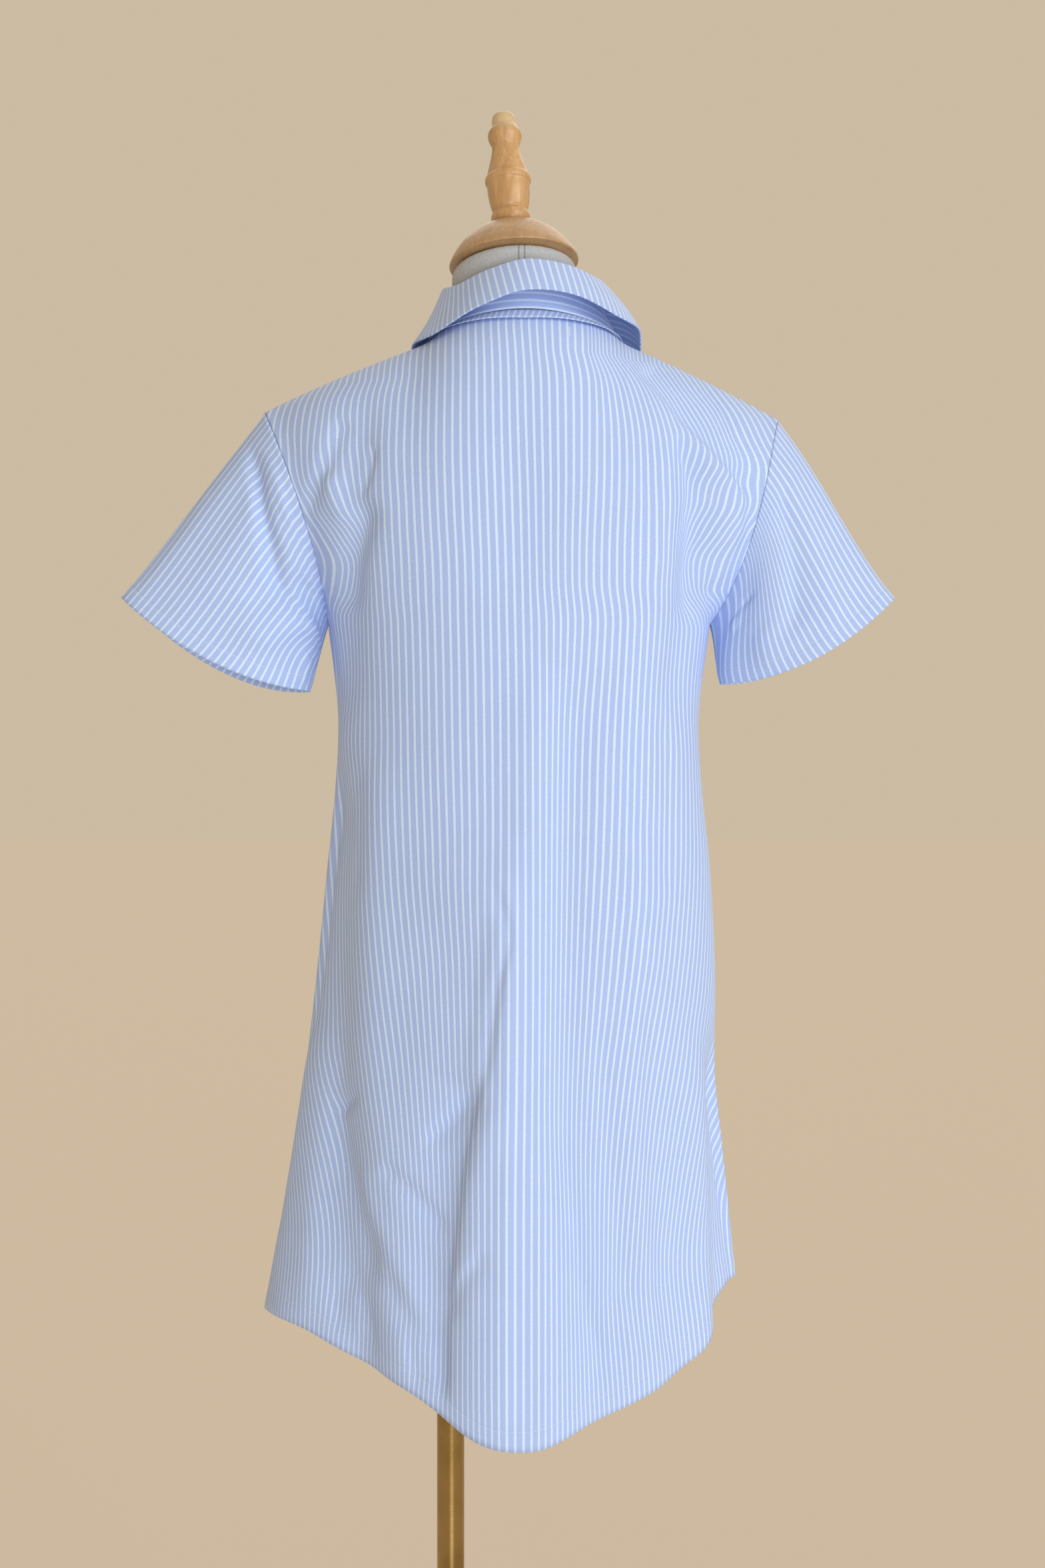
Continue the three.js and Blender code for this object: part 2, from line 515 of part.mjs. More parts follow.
function collarAt(share) {
  const deg = collarDeg(share);
  const seam = neckline(deg);
  const out = point(Math.sin(radians(deg)), -Math.cos(radians(deg)), 0);
  const value = (column) => read(COLLAR, "deg", deg, column);
  return { seam, out, value };
}

const STAND_START = HALF_CLOTH + 2 * SEAM; // the stand's lower edge, above the seam

function standPoint(share, v) {
  const { seam, out, value } = collarAt(share);
  const up = mix(value("stand"), STAND_START, v);
  const inwards = value("lean") * Math.sin(up / value("stand") * Math.PI / 2);
  return seam.addScaledVector(out, -inwards).setZ(seam.z + up);
}

// The fall rises from the stand's top edge, turns over the fold and slopes down and out to its edge.
function fallPoint(share, v) {
  const { seam, out, value } = collarAt(share);
  const base = seam.clone().addScaledVector(out, -value("lean"));
  base.z += value("stand") + SEAM + FIRM_CLOTH / 2;
  const end = Math.PI / 2 - Math.atan2(value("drop"), value("out"));
  const a = mix(Math.PI, end, Math.min(1, v / FOLD_SHARE));
  const t = Math.max(0, (v - FOLD_SHARE) / (1 - FOLD_SHARE));
  const bow = Math.sin(t * Math.PI) * value("bow");
  const over = COLLAR_FOLD_RADIUS * (1 + Math.cos(a)) + value("out") * t + bow;
  base.z += COLLAR_FOLD_RADIUS * Math.sin(a) - value("drop") * t;
  return base.addScaledVector(out, over);
}

// The binding lies over the neck seam on the outside of the back and the shoulders.
function bindingPoint(share, v) {
  const u = mix(0.5 - (1 - NECK_SHARE) / 2, 0.5 + (1 - NECK_SHARE) / 2, share);
  const top = backPoint(u, 0);
  const below = backPoint(u, UPPER / GRID.upperRows);
  return top.lerp(below, (BINDING.start + BINDING.width * v) / top.distanceTo(below));
}

// The button band's middle surface, which stops just short of the collar, and a button's seat on it.
const BAND_TOP = 0.015;
const HALVINGS = 30; // steps of the search for a button's height
const bandPoint = (u, v) => frontPoint("right", mix(1 - PLACKET_SHARE, 1, u), Math.max(v, BAND_TOP));

function button(index) {
  const z = BUTTON.first - BUTTON.pitch * index;
  let low = 0;
  let high = 1;
  for (let step = 0; step < HALVINGS; step += 1) {
    const half = (low + high) / 2;
    if (bandPoint(0.5, half).z > z) {
      low = half;
    } else {
      high = half;
    }
  }
  const seat = bandPoint(0.5, low);
  const below = bandPoint(0.5, low + 0.01);
  const beside = bandPoint(0.6, low);
  const normal = below.sub(seat).cross(beside.sub(seat)).normalize();
  const outline = BUTTON_OUTLINE.map((row) => ({ z: BUTTON.thick * row.z, r: BUTTON.radius * row.r }));
  const mesh = piece(`button_${index + 1}`, turned(outline, BUTTON.segments), MATERIALS.button);
  mesh.quaternion.setFromUnitVectors(point(0, 0, 1), normal);
  mesh.position.copy(seat).addScaledVector(normal, CLOTH + SEAM + HALF_CLOTH + SEAM);
  return mesh;
}

// How far out the form may reach at a height and stay just under the shoulder seam.
function underSeam(side, z) {
  const tip = side < 0 ? SHOULDER.left : SHOULDER.right;
  const neck = neckline(side * 90);
  const clear = HALF_CLOTH + SEAM + REST_GAP;
  return side * (neck.x + (side * tip.x - neck.x) * (neck.z - z - clear) / (neck.z - tip.z));
}

// The form: a smooth torso with a neck, and no arms or head.
function torso() {
  const shoulders = TORSO_SHOULDER_STEPS.map((z, i) => {
    const t = i / (TORSO_SHOULDER_STEPS.length - 1);
    const front = mix(SHOULDER_DEPTH.frontLow, SHOULDER_DEPTH.frontHigh, t);
    const reach = { left: underSeam(-1, z), right: underSeam(1, z) };
    return { z, ...reach, pinch: SHOULDER_PINCH, back: SHOULDER_DEPTH.back, front };
  });
  const trunk = TORSO.map((row) => ({ left: row.wide, right: row.wide, pinch: 0, ...row }));
  const round = Array.from({ length: GRID.torsoRound }, (_, i) => (i / GRID.torsoRound) * 2 * Math.PI);
  const rings = [...trunk, ...shoulders].map((row) => round.map((a) => {
    const x = Math.cos(a) * (Math.cos(a) < 0 ? row.left : row.right);
    const deep = Math.sin(a) < 0 ? row.back : row.front;
    const y = deep * Math.sin(a) * (1 - row.pinch * Math.abs(Math.cos(a)));
    return point(x, y, row.z);
  }));
  const tilt = new THREE.Euler(radians(NECK_TOP.pitchDeg), radians(NECK_TOP.rollDeg), 0);
  const neckRings = NECK_RINGS.map((row) => round.map((a) => {
    const turn = new THREE.Euler(tilt.x * row.turn, tilt.y * row.turn, 0);
    const centre = point(NECK_TOP.x * row.turn, NECK_TOP.y * row.turn, NECK_TOP.z - row.below);
    const radius = NECK_TOP.radius + row.wider;
    return point(radius * Math.cos(a), radius * Math.sin(a), 0).applyEuler(turn).add(centre);
  }));
  return piece("form_torso", loftGeometry([...rings, ...neckRings]), MATERIALS.cover);
}

// The neck cap and its knob stand square on the neck's tilted top.
function neckCap() {
  const group = new THREE.Group();
  group.position.set(NECK_TOP.x, NECK_TOP.y, NECK_TOP.z);
  group.rotation.set(radians(NECK_TOP.pitchDeg), radians(NECK_TOP.rollDeg), 0);
  const knob = piece("neck_cap_finial", turned(FINIAL, ROUND.knob), MATERIALS.wood);
  knob.position.z = CAP[CAP.length - 1].z + SEAM;
  group.add(piece("neck_cap", turned(CAP, ROUND.cap), MATERIALS.wood), knob);
  return group;
}

function stand() {
  const group = new THREE.Group();
  const socketTop = TORSO_BASE_Z - SEAM;
  const bore = POLE_RADIUS + SEAM;
  const socketLow = socketTop - SOCKET.height;
  const socketOutline = [
    [bore, socketTop], [bore, socketLow], [SOCKET.radius - SOCKET.lip, socketLow],
    [SOCKET.radius, socketLow + SOCKET.lip], [SOCKET.radius, socketTop], [bore, socketTop],
  ].map(([r, z]) => new THREE.Vector2(r, z));
  const socket = new THREE.LatheGeometry(socketOutline, ROUND.socket).rotateX(Math.PI / 2);
  const poleLow = BASE.top + SEAM;
  const pole = new THREE.CylinderGeometry(POLE_RADIUS, POLE_RADIUS, socketTop - poleLow, ROUND.pole);
  pole.rotateX(Math.PI / 2).translate(0, 0, (socketTop + poleLow) / 2);
  const { radius, bevel, edge, crown, flange, hub, top } = BASE;
  const plate = [
    { z: 0, r: radius - bevel }, { z: bevel, r: radius }, { z: edge - bevel, r: radius },
    { z: edge, r: radius - bevel }, { z: crown - bevel, r: flange + hub }, { z: crown, r: flange },
    { z: top - bevel, r: POLE_RADIUS + hub / 2 }, { z: top, r: POLE_RADIUS + hub / 2 - bevel },
  ];
  group.add(
    piece("stand_base", turned(plate, ROUND.base), MATERIALS.brass),
    piece("stand_pole", pole, MATERIALS.brass),
    piece("stand_socket", socket, MATERIALS.brass),
  );
  return group;
}

function dress() {
  const group = new THREE.Group();
  const rows = GRID.upperRows + GRID.lowerRows;
  const cloth = (name, place, columns, down, ...more) =>
    piece(name, wallGeometry(place, columns, down, ...more), MATERIALS.shirting);
  const leftFront = (u, v) => frontPoint("left", 1 - u, v);
  const rightFront = (u, v) => frontPoint("right", u, v);
  const leftSleeve = (u, v) => sleevePoint("left", u, v);
  const rightSleeve = (u, v) => sleevePoint("right", u, v);
  const neckColumns = 2 * (GRID.front - GRID.shoulder);
  group.add(
    cloth("back_panel", backPoint, GRID.back, rows, CLOTH),
    cloth("front_left", leftFront, GRID.front, rows, CLOTH),
    cloth("front_right", rightFront, GRID.front, rows, CLOTH),
    cloth("button_band", bandPoint, GRID.band, rows, CLOTH, false, CLOTH + SEAM),
    cloth("sleeve_left", leftSleeve, GRID.sleeveRound, GRID.sleeveLong, CLOTH, true),
    cloth("sleeve_right", rightSleeve, GRID.sleeveRound, GRID.sleeveLong, CLOTH, true),
    cloth("collar_stand", standPoint, GRID.collarLong, GRID.stand, FIRM_CLOTH),
    cloth("collar_fall", fallPoint, GRID.collarLong, GRID.collarFall, FIRM_CLOTH),
    cloth("neck_binding", bindingPoint, neckColumns, 1, HALF_CLOTH, false, CLOTH + SEAM),
  );
  for (let index = 0; index < BUTTON.count; index += 1) {
    group.add(button(index));
  }
  return group;
}

const figure = new THREE.Group();
figure.position.x = BODY_X;
figure.add(dress(), torso(), neckCap());

const model = new THREE.Group();
model.add(figure, stand());

export default model;
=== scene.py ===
import math
from functools import partial

import bmesh
import bpy
import numpy as np
from mathutils import Euler, Matrix, Vector


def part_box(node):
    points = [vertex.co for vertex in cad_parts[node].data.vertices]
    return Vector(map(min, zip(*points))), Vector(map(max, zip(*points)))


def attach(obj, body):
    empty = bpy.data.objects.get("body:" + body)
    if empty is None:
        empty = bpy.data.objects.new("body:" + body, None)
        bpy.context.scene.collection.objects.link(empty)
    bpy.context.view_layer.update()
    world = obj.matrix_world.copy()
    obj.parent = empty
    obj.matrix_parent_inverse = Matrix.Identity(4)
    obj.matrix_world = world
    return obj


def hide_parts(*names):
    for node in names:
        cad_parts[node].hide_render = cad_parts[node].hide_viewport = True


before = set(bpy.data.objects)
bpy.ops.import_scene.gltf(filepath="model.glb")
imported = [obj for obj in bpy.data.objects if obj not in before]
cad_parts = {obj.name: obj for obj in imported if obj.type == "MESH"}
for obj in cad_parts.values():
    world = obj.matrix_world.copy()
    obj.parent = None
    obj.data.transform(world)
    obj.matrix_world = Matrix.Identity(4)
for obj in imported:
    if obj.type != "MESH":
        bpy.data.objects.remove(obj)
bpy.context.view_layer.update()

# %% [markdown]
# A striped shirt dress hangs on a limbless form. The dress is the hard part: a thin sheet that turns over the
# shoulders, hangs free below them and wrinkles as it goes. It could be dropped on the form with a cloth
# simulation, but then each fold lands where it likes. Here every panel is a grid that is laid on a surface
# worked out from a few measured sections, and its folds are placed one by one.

MM = 0.001


def table(columns, *rows):
    """Rows of numbers with named columns."""
    return {name: np.array([row[i] for row in rows], float) for i, name in enumerate(columns.split())}


def curve(t, a, b, leaving, arriving):
    """From a (t 0) to b (t 1), with a slope at either end."""
    return ((2 * t**3 - 3 * t**2 + 1) * a + (t**3 - 2 * t**2 + t) * leaving
            + (3 * t**2 - 2 * t**3) * b + (t**3 - t**2) * arriving)


def read(rows, key, at, column):
    """One column of a table at any key between its rows, on a smooth curve through the rows."""
    keys, values = rows[key], rows[column]
    last = len(keys) - 1
    x = np.clip(at, keys[0], keys[last])
    i = np.clip(np.searchsorted(keys, x, side="right") - 1, 0, last - 1)
    j = np.arange(last + 1)
    low, high = np.maximum(j - 1, 0), np.minimum(j + 1, last)
    slope = (values[high] - values[low]) / (keys[high] - keys[low])
    span = keys[i + 1] - keys[i]
    return curve((x - keys[i]) / span, values[i], values[i + 1], span * slope[i], span * slope[i + 1])


def ease(t):
    t = np.clip(t, 0, 1)
    return t * t * (3 - 2 * t)


def mix(a, b, t):
    return a + (b - a) * t


def xyz(x, y, z):
    return np.stack(np.broadcast_arrays(x, y, z), axis=-1).astype(float)


def unit(p):
    return p / np.maximum(np.linalg.norm(p, axis=-1, keepdims=True), 1e-9)


def bezier(p0, p1, p2, p3, t):
    t = t[..., None]
    s = 1 - t
    return s**3 * p0 + 3 * s * s * t * p1 + 3 * s * t * t * p2 + t**3 * p3


def mesh_from(bm, name):
    mesh = bpy.data.meshes.new(name)
    bm.to_mesh(mesh)
    bm.free()
    return mesh


def placed(name, data):
    """A new object in the scene, at the origin."""
    obj = bpy.data.objects.new(name, data)
    bpy.context.scene.collection.objects.link(obj)
    return obj


# %% The dress's measures, in millimetres from its middle plane and from the floor
BODY_X = 54
UNDERARM_Z = 1158
SHOULDER = {-1: (203, 1328), 1: (209, 1322)}
SHOULDER_LIFT = 3
NECK = {"x": 6, "half": 76, "back": 76, "front": 80, "z_back": 1394.5, "z_side": 1383, "z_front": 1336}
PLACKET = 28
FRONT_END = 158
SEAM = 0.3
SHELL = 0.8
HEM_WIDTH = 15
CUFF_WIDTH = 12
PITCH = 6.2

SECTIONS = table(
    "z left right back front prow",
    (500, 214, 182, 140, 150, 0.5), (600, 204, 177, 137, 146, 0.48), (680, 186, 170, 132, 142, 0.44),
    (740, 177, 164, 128, 138, 0.38), (800, 170, 158, 123, 134, 0.3), (880, 161, 158, 116, 130, 0.18),
    (960, 153, 154, 109, 126, 0.08), (1030, 146, 147, 104, 122, 0.02), (1085, 144, 145, 105, 120, 0),
    (1158, 152, 154, 110, 118, 0),
)
PROW_TIP = 0.22
HEM = table(
    "x back front",
    (-215, 612, 612), (-170, 609, 604), (-127, 590, 588), (-75, 571, 570), (-26, 541, 562), (10, 536, 561),
    (43, 546, 563), (94, 566, 575), (132, 588, 596), (155, 610, 612), (180, 640, 640),
)
BACK_RISE = table(
    "across over fall over_in under up under_in",
    (0, 56, 22, 12, 64, 56, 0), (0.12, 63, 5, 3, 82, 82, 0), (0.35, 70, -1, 0, 101, 104, 0),
    (0.65, 81, -6, 0, 118, 120, 0), (0.85, 101, 6, 0, 120, 116, 0), (1, 104, 14, 0, 114, 112, 0),
)
FRONT_RISE = table(
    "across over fall over_in under up under_in",
    (0, 50, 26, 16, 62, 40, 8), (0.12, 56, 8, 6, 80, 70, 4), (0.35, 66, 6, 0, 110, 84, 0),
    (0.65, 84, 14, 0, 128, 84, 0), (0.85, 103, 23, 0, 122, 79, 0), (1, 103, 25, 4, 121, 78, 0),
)
BELLY, BELLY_SHARE = 38, 0.35
UPPER = 8 / 21
NECK_SHARE = 14 / 22
PLACKET_SHARE = 2 / 22
HEM_RING = 610
BAND_RING = 880
SIDE_TURN = math.pi / 2 - SEAM / 2 / 110


def ring(facing, turn, z):
    """The dress's body at a height, from the left side seam (-90 degrees) round to the right one."""
    across = np.sin(turn)
    half = np.where(across < 0, read(SECTIONS, "z", z, "left"), read(SECTIONS, "z", z, "right"))
    depth = read(SECTIONS, "z", z, "back" if facing < 0 else "front")
    prow = read(SECTIONS, "z", z, "prow") if facing < 0 else 0
    tip = (np.hypot(across, PROW_TIP) - PROW_TIP) / (math.hypot(1, PROW_TIP) - PROW_TIP)
    return xyz(half * across, facing * depth * ((1 - prow) * np.cos(turn) + prow * (1 - tip)), z)


def neckline(deg):
    a = np.radians(deg)
    c = np.cos(a)
    depth = np.where(c > 0, NECK["back"], NECK["front"])
    low = mix(NECK["z_side"], NECK["z_front"], np.abs(c) ** 1.5)
    z = np.where(c > 0, mix(NECK["z_side"], NECK["z_back"], c**2), low)
    return xyz(NECK["x"] + NECK["half"] * np.sin(a), -depth * c, z)


def top_seam(facing, side, across, end):
    """Over the shoulder, then along the neckline to its end."""
    tip_x = np.where(side < 0, SHOULDER[-1][0], SHOULDER[1][0])
    tip_z = np.where(side < 0, SHOULDER[-1][1], SHOULDER[1][1])
    neck = neckline(side * 90.0)
    t = np.clip(across / NECK_SHARE, 0, 1)
    z = mix(tip_z, neck[..., 2], t) + SHOULDER_LIFT * 4 * t * (1 - t)
    shoulder = xyz(mix(side * tip_x, neck[..., 0], t), facing * SEAM / 2, z)
    s = np.clip((across - NECK_SHARE) / (1 - NECK_SHARE), 0, 1)
    collar = neckline(side * mix(90, end, s**0.75))
    return np.where((across < NECK_SHARE)[..., None], shoulder, collar)


def rise(rows, facing, side, across, top, foot, t):
    """A panel's column from its top seam down to the underarm, between two handles."""
    value = {name: read(rows, "across", across, name) for name in rows}
    belly = np.where((side > 0) & (facing < 0), BELLY, 0) * (1 - ease(across / BELLY_SHARE))
    over = xyz(top[..., 0] - side * value["over_in"], facing * value["over"], top[..., 2] - value["fall"])
    under = xyz(foot[..., 0] - side * (value["under_in"] - belly), facing * value["under"],
                foot[..., 2] + value["up"])
    return bezier(top, over, under, foot, t)


def back_place(u, v):
    side = np.where(u < 0.5, -1, 1)
    across = 1 - np.abs(2 * u - 1)
    turn = side * mix(SIDE_TURN, 0, across)
    high = rise(BACK_RISE, -1, side, across, top_seam(-1, side, across, 0), ring(-1, turn, UNDERARM_Z),
                np.clip(v / UPPER, 0, 1))
    hem = read(HEM, "x", ring(-1, turn, HEM_RING)[..., 0], "back")
    low = ring(-1, turn, mix(UNDERARM_Z, hem, np.clip((v - UPPER) / (1 - UPPER), 0, 1)))
    return np.where((v < UPPER)[..., None], high, low)


def front_place(side, u, v):
    """A front from its side seam (u 0) to its edge (u 1), which laps past the dress's middle."""
    half_at = lambda z: read(SECTIONS, "z", z, "left" if side < 0 else "right")
    band = math.asin(PLACKET / 2 / half_at(BAND_RING))
    share = 1 - PLACKET_SHARE
    turn = np.where(u < share, mix(SIDE_TURN, band, u / share), mix(band, -band, (u - share) / PLACKET_SHARE))

    def place(z):
        p = ring(1, side * turn, z)
        p[..., 0] *= np.where(u < share, 1, half_at(BAND_RING) / half_at(z))
        return p

    high = rise(FRONT_RISE, 1, side, u, top_seam(1, side + 0 * u, u, FRONT_END), place(UNDERARM_Z + 0 * u),
                np.clip(v / UPPER, 0, 1))
    hem = read(HEM, "x", place(HEM_RING + 0 * u)[..., 0], "front")
    low = place(mix(UNDERARM_Z, hem, np.clip((v - UPPER) / (1 - UPPER), 0, 1)))
    p = np.where((v < UPPER)[..., None], high, low)
    lap = ease(1.6 - side * p[..., 0] / PLACKET) * ease(v / UPPER * 1.5)
    return p + outwards(1, p) * (side * 1.2 * lap)[..., None]


def outwards(facing, p):
    return unit(xyz(p[..., 0] / 214, p[..., 1] / 140 + facing * 0.02, 0))


print("underarm section", SECTIONS["left"][-1] + SECTIONS["right"][-1], "mm across")

# %% [markdown]
# Folds can be sculpted, simulated or drawn. Drawn ones stay editable: each is a line on the panel as it is
# seen from outside, with its own depth (below 0 it goes in) and its own width to either side, so a crease can
# be sharp on one side and soft on the other. The stripes' run over the shoulders is drawn too, from where
# some of them lie. Lower down they follow the cloth, and are closer where its folds gather it.

# %% Folds and the run of the stripes
BACK_FOLDS = [
    # name, points (x, z), width to the left, to the right, depth, fade
    ("middle ridge", [(-8, 1010), (-12, 760), (-14, 500)], 55, 14, 7, 90),
    ("left of middle", [(-26, 960), (-48, 765), (-66, 500)], 45, 18, -5, 70),
    ("beside it", [(-58, 900), (-80, 765), (-104, 500)], 20, 24, 1.5, 70),
    ("right of middle ridge", [(18, 1140), (8, 850), (24, 500)], 20, 20, 3, 70),
    ("right of middle", [(46, 1140), (36, 850), (62, 500)], 20, 20, -6, 70),
    ("right panel ridge", [(98, 1000), (90, 800), (108, 500)], 20, 20, 4, 70),
    ("left hip", [(-142, 1070), (-146, 780), (-106, 500)], 20, 20, -9, 70),
    ("left hip ridge", [(-110, 1070), (-108, 780), (-60, 500)], 20, 20, 3, 70),
    ("left flare", [(-172, 860), (-184, 700), (-172, 500)], 18, 18, 5, 70),
    ("right side ridge", [(138, 850), (141, 700), (144, 500)], 15, 15, 7, 70),
    ("right side", [(156, 850), (161, 700), (166, 500)], 13, 13, -10, 70),
    ("left blade", [(-116, 1345), (-131, 1230), (-138, 1060)], 16, 16, -6, 70),
    ("right blade", [(128, 1345), (137, 1225), (120, 1050)], 16, 16, -6, 70),
    ("crease top", [(-19, 957), (-6, 920), (-14, 875), (-24, 800)], 6, 3, -2.2, 25),
    ("crease", [(-25, 815), (-38, 757), (-45, 706), (-51, 656), (-53, 610), (-53, 565)], 24, 2.4, -6, 24),
    ("crease lip", [(-14, 800), (-30, 745), (-38, 695), (-44, 620)], 6, 13, 2.4, 30),
    ("crease, first spoke", [(-31, 801), (-51, 777), (-75, 757)], 3.5, 9, -3, 15),
    ("crease, second spoke", [(-104, 742), (-80, 724), (-52, 692)], 8, 3, -2.8, 12),
    ("crease, low spoke", [(-52, 628), (-40, 660), (-22, 684)], 9, 3, -2.4, 12),
    ("left flank nick", [(-152, 772), (-120, 790)], 3, 6, -2.4, 10),
    ("left flank, low", [(-119, 706), (-98, 656), (-71, 605)], 12, 7, -4, 30),
    ("left flank, lit", [(-122, 745), (-108, 690), (-98, 640)], 5, 9, 2.6, 25),
    ("left flank, long", [(-150, 800), (-143, 742), (-125, 690), (-112, 640)], 5, 10, -3, 30),
    ("left flank lit", [(-155, 860), (-160, 700), (-165, 600)], 10, 10, 3, 50),
    ("right ripple one", [(28, 800), (40, 720), (58, 590)], 9, 7, -2.6, 50),
    ("right ripple two", [(62, 860), (72, 740), (84, 600)], 8, 9, -2.2, 50),
    ("right ripple three", [(100, 900), (100, 760), (112, 620)], 9, 10, -2.6, 60),
    ("right nick", [(66, 738), (73, 747)], 3, 3, -1, 5),
    ("hem crumple one", [(-146, 652), (-141, 606)], 4, 4, -1.7, 18),
    ("hem crumple two", [(-133, 650), (-126, 600)], 4, 4, 1.6, 18),
    ("hem crumple three", [(-120, 640), (-112, 592)], 4, 4, -1.5, 18),
    ("hem crumple four", [(-84, 622), (-74, 572)], 4, 4, -1.6, 18),
    ("hem crumple five", [(-68, 615), (-61, 566)], 4, 4, 1.3, 18),
    ("hem crumple six", [(58, 640), (66, 575)], 5, 5, -1.6, 20),
    ("hem crumple seven", [(78, 650), (88, 580)], 5, 6, 1.4, 20),
    ("hem crumple eight", [(104, 660), (114, 590)], 5, 6, -1.5, 20),
    ("left drag", [(-136, 1318), (-145, 1292), (-153, 1272), (-160, 1256), (-168, 1240)], 6, 9, -3.4, 14),
    ("left drag ridge", [(-150, 1276), (-144, 1252), (-134, 1226)], 7, 8, 3, 14),
    ("left short crease", [(-112, 1292), (-116, 1270), (-124, 1250)], 5, 4, -2.2, 9),
    ("left armpit", [(-117, 1252), (-121, 1230), (-126, 1216), (-132, 1200), (-139, 1160)], 9, 13, -6, 18),
    ("right crease", [(94, 1356), (116, 1330), (135, 1310), (152, 1292), (168, 1271), (182, 1250)],
     4, 16, -4.4, 16),
    ("right bulge", [(122, 1312), (148, 1283), (168, 1258), (166, 1234), (150, 1204)], 12, 7, 4.4, 24),
    ("right upright", [(126, 1304), (129, 1286), (135, 1272), (137, 1250), (128, 1228)], 4, 7, -2.2, 12),
    ("right fan valley", [(150, 1250), (140, 1220), (136, 1190), (142, 1150)], 8, 9, -4, 24),
    ("right fan ridge", [(178, 1242), (162, 1214), (150, 1180)], 6, 8, 2.6, 18),
    ("right inner", [(112, 1300), (117, 1250), (117, 1212), (118, 1150)], 12, 6, 2, 30),
    ("left waist", [(-128, 1060), (-124, 1000), (-128, 930)], 6, 8, -1.4, 30),
    ("right waist", [(112, 1090), (118, 1010), (112, 940)], 8, 6, -1.6, 30),
]
FRONT_FOLDS = [
    ("left bust", [(-58, 1130), (-66, 860), (-72, 500)], 20, 20, -6, 70),
    ("left bust ridge", [(-96, 1120), (-104, 830), (-118, 500)], 22, 22, 5, 70),
    ("left side", [(-134, 1000), (-146, 780), (-164, 500)], 18, 18, -7, 70),
    ("right bust ridge", [(64, 1120), (60, 860), (66, 500)], 20, 20, 5, 70),
    ("right bust", [(102, 1130), (98, 830), (108, 500)], 20, 20, -7, 70),
    ("right flare", [(136, 940), (142, 760), (148, 500)], 18, 18, 5, 70),
    ("left armhole drag", [(-150, 1215), (-118, 1190), (-92, 1150)], 8, 10, -3, 22),
    ("left armhole ridge", [(-140, 1190), (-112, 1160), (-90, 1115)], 7, 8, 2.4, 22),
    ("right armhole drag", [(150, 1225), (122, 1196), (98, 1158)], 10, 8, -3.2, 22),
    ("right armhole ridge", [(142, 1192), (118, 1158), (104, 1110)], 8, 7, 2.2, 22),
    ("left skirt ripple", [(-40, 840), (-34, 720), (-42, 570)], 7, 9, -2.4, 50),
    ("left skirt ridge", [(-86, 760), (-90, 660), (-96, 570)], 8, 8, 2.2, 40),
    ("right skirt ripple", [(44, 800), (38, 690), (40, 565)], 9, 7, -2.2, 50),
    ("right skirt ridge", [(124, 790), (128, 690), (134, 590)], 8, 9, 2.4, 40),
    ("left hem crumple", [(-120, 640), (-126, 588)], 5, 5, -1.6, 18),
    ("left hem crumple two", [(-106, 640), (-110, 582)], 5, 5, 1.3, 18),
    ("right hem crumple", [(84, 640), (88, 572)], 5, 5, -1.6, 20),
]
# Where some stripes run, by their number from the middle one: x for each height
STRIPES_MIDDLE = table("z n0", (560, 7.5), (760, 7.5), (900, 8.7), (1100, 8.3), (1180, 6.8), (1240, 5.4),
                       (1300, 3.4), (1350, 2), (1380, 0))
STRIPES_RIGHT = table(
    "z n9 n14 n18 n22 n26 n30 n34",
    (1158, 54.5, 83.5, 106.5, 122.5, 136, 146, 152), (1180, 54.6, 84, 107.5, 123, 133, 142.5, 151),
    (1204, 54.7, 84, 108.6, 124, 131.5, 141, 155), (1225, 55.4, 84.6, 108.6, 126, 136.5, 149, 163.5),
    (1244, 56.3, 85.5, 108.3, 128.4, 141, 156, 176.5), (1262, 57, 86, 107.6, 129, 142.5, 159, 178.5),
    (1280, 57.3, 86, 107, 129, 146, 164.5, 179), (1300, 57.6, 85.3, 106, 127.4, 145, 158.5, 170),
    (1320, 57.6, 82.5, 101.5, 119, 133.5, 148, 161.5), (1340, 56.8, 77.7, 94, 105.5, 119, 133, 150),
    (1360, 52.5, 67, 80, 92, 106, 122, 142),
)
STRIPES_LEFT = table(
    "z n12 n16 n20 n24 n28 n31",
    (1158, 66, 90, 110, 126.5, 141, 149), (1180, 66.5, 90.5, 111, 125, 137, 146),
    (1204, 67.4, 91.3, 113.3, 124, 134, 143), (1225, 68.8, 92.5, 116, 127.5, 140.5, 151.5),
    (1244, 69.8, 93.2, 117.2, 133.5, 151.5, 163), (1262, 70.5, 94.6, 118, 138, 159, 171),
    (1275, 70.9, 95.4, 118, 140.5, 161, 175), (1290, 71, 95.7, 119.6, 141.5, 161.5, 176.5),
    (1310, 70.8, 95.2, 118.3, 139.8, 160, 178), (1330, 70.5, 94.3, 115.5, 137.5, 158, 176),
    (1345, 70.2, 92, 111.5, 131.5, 154, 172),
)
# Below the chest the folds gather the cloth, from lower down towards the sides and not along the middle, and
# most of all in one valley, which leans right near the hem
GATHER = {"more": 0.5, "top": 1120, "low": 620, "middle": 22, "lower": 6, "side": 100}
VALLEY = {"more": 0.34, "x": 31, "half": 18, "lean": 29}


def crowding(x, z):
    """How many times closer the stripes are than flat cloth shows them."""
    top = GATHER["top"] - (np.minimum(np.abs(x), GATHER["side"]) / GATHER["lower"]) ** 2
    off_middle = 1 - np.exp(-((x / GATHER["middle"]) ** 2))
    gather = GATHER["more"] * ease((top - z) / (top - GATHER["low"])) * off_middle
    valley_x = VALLEY["x"] + VALLEY["lean"] * ease((800 - z) / 160)
    valley = VALLEY["more"] * np.exp(-(((x - valley_x) / VALLEY["half"]) ** 2))
    return 1 + gather + valley * ease((1260 - z) / 240) * ease((z - 540) / 110)


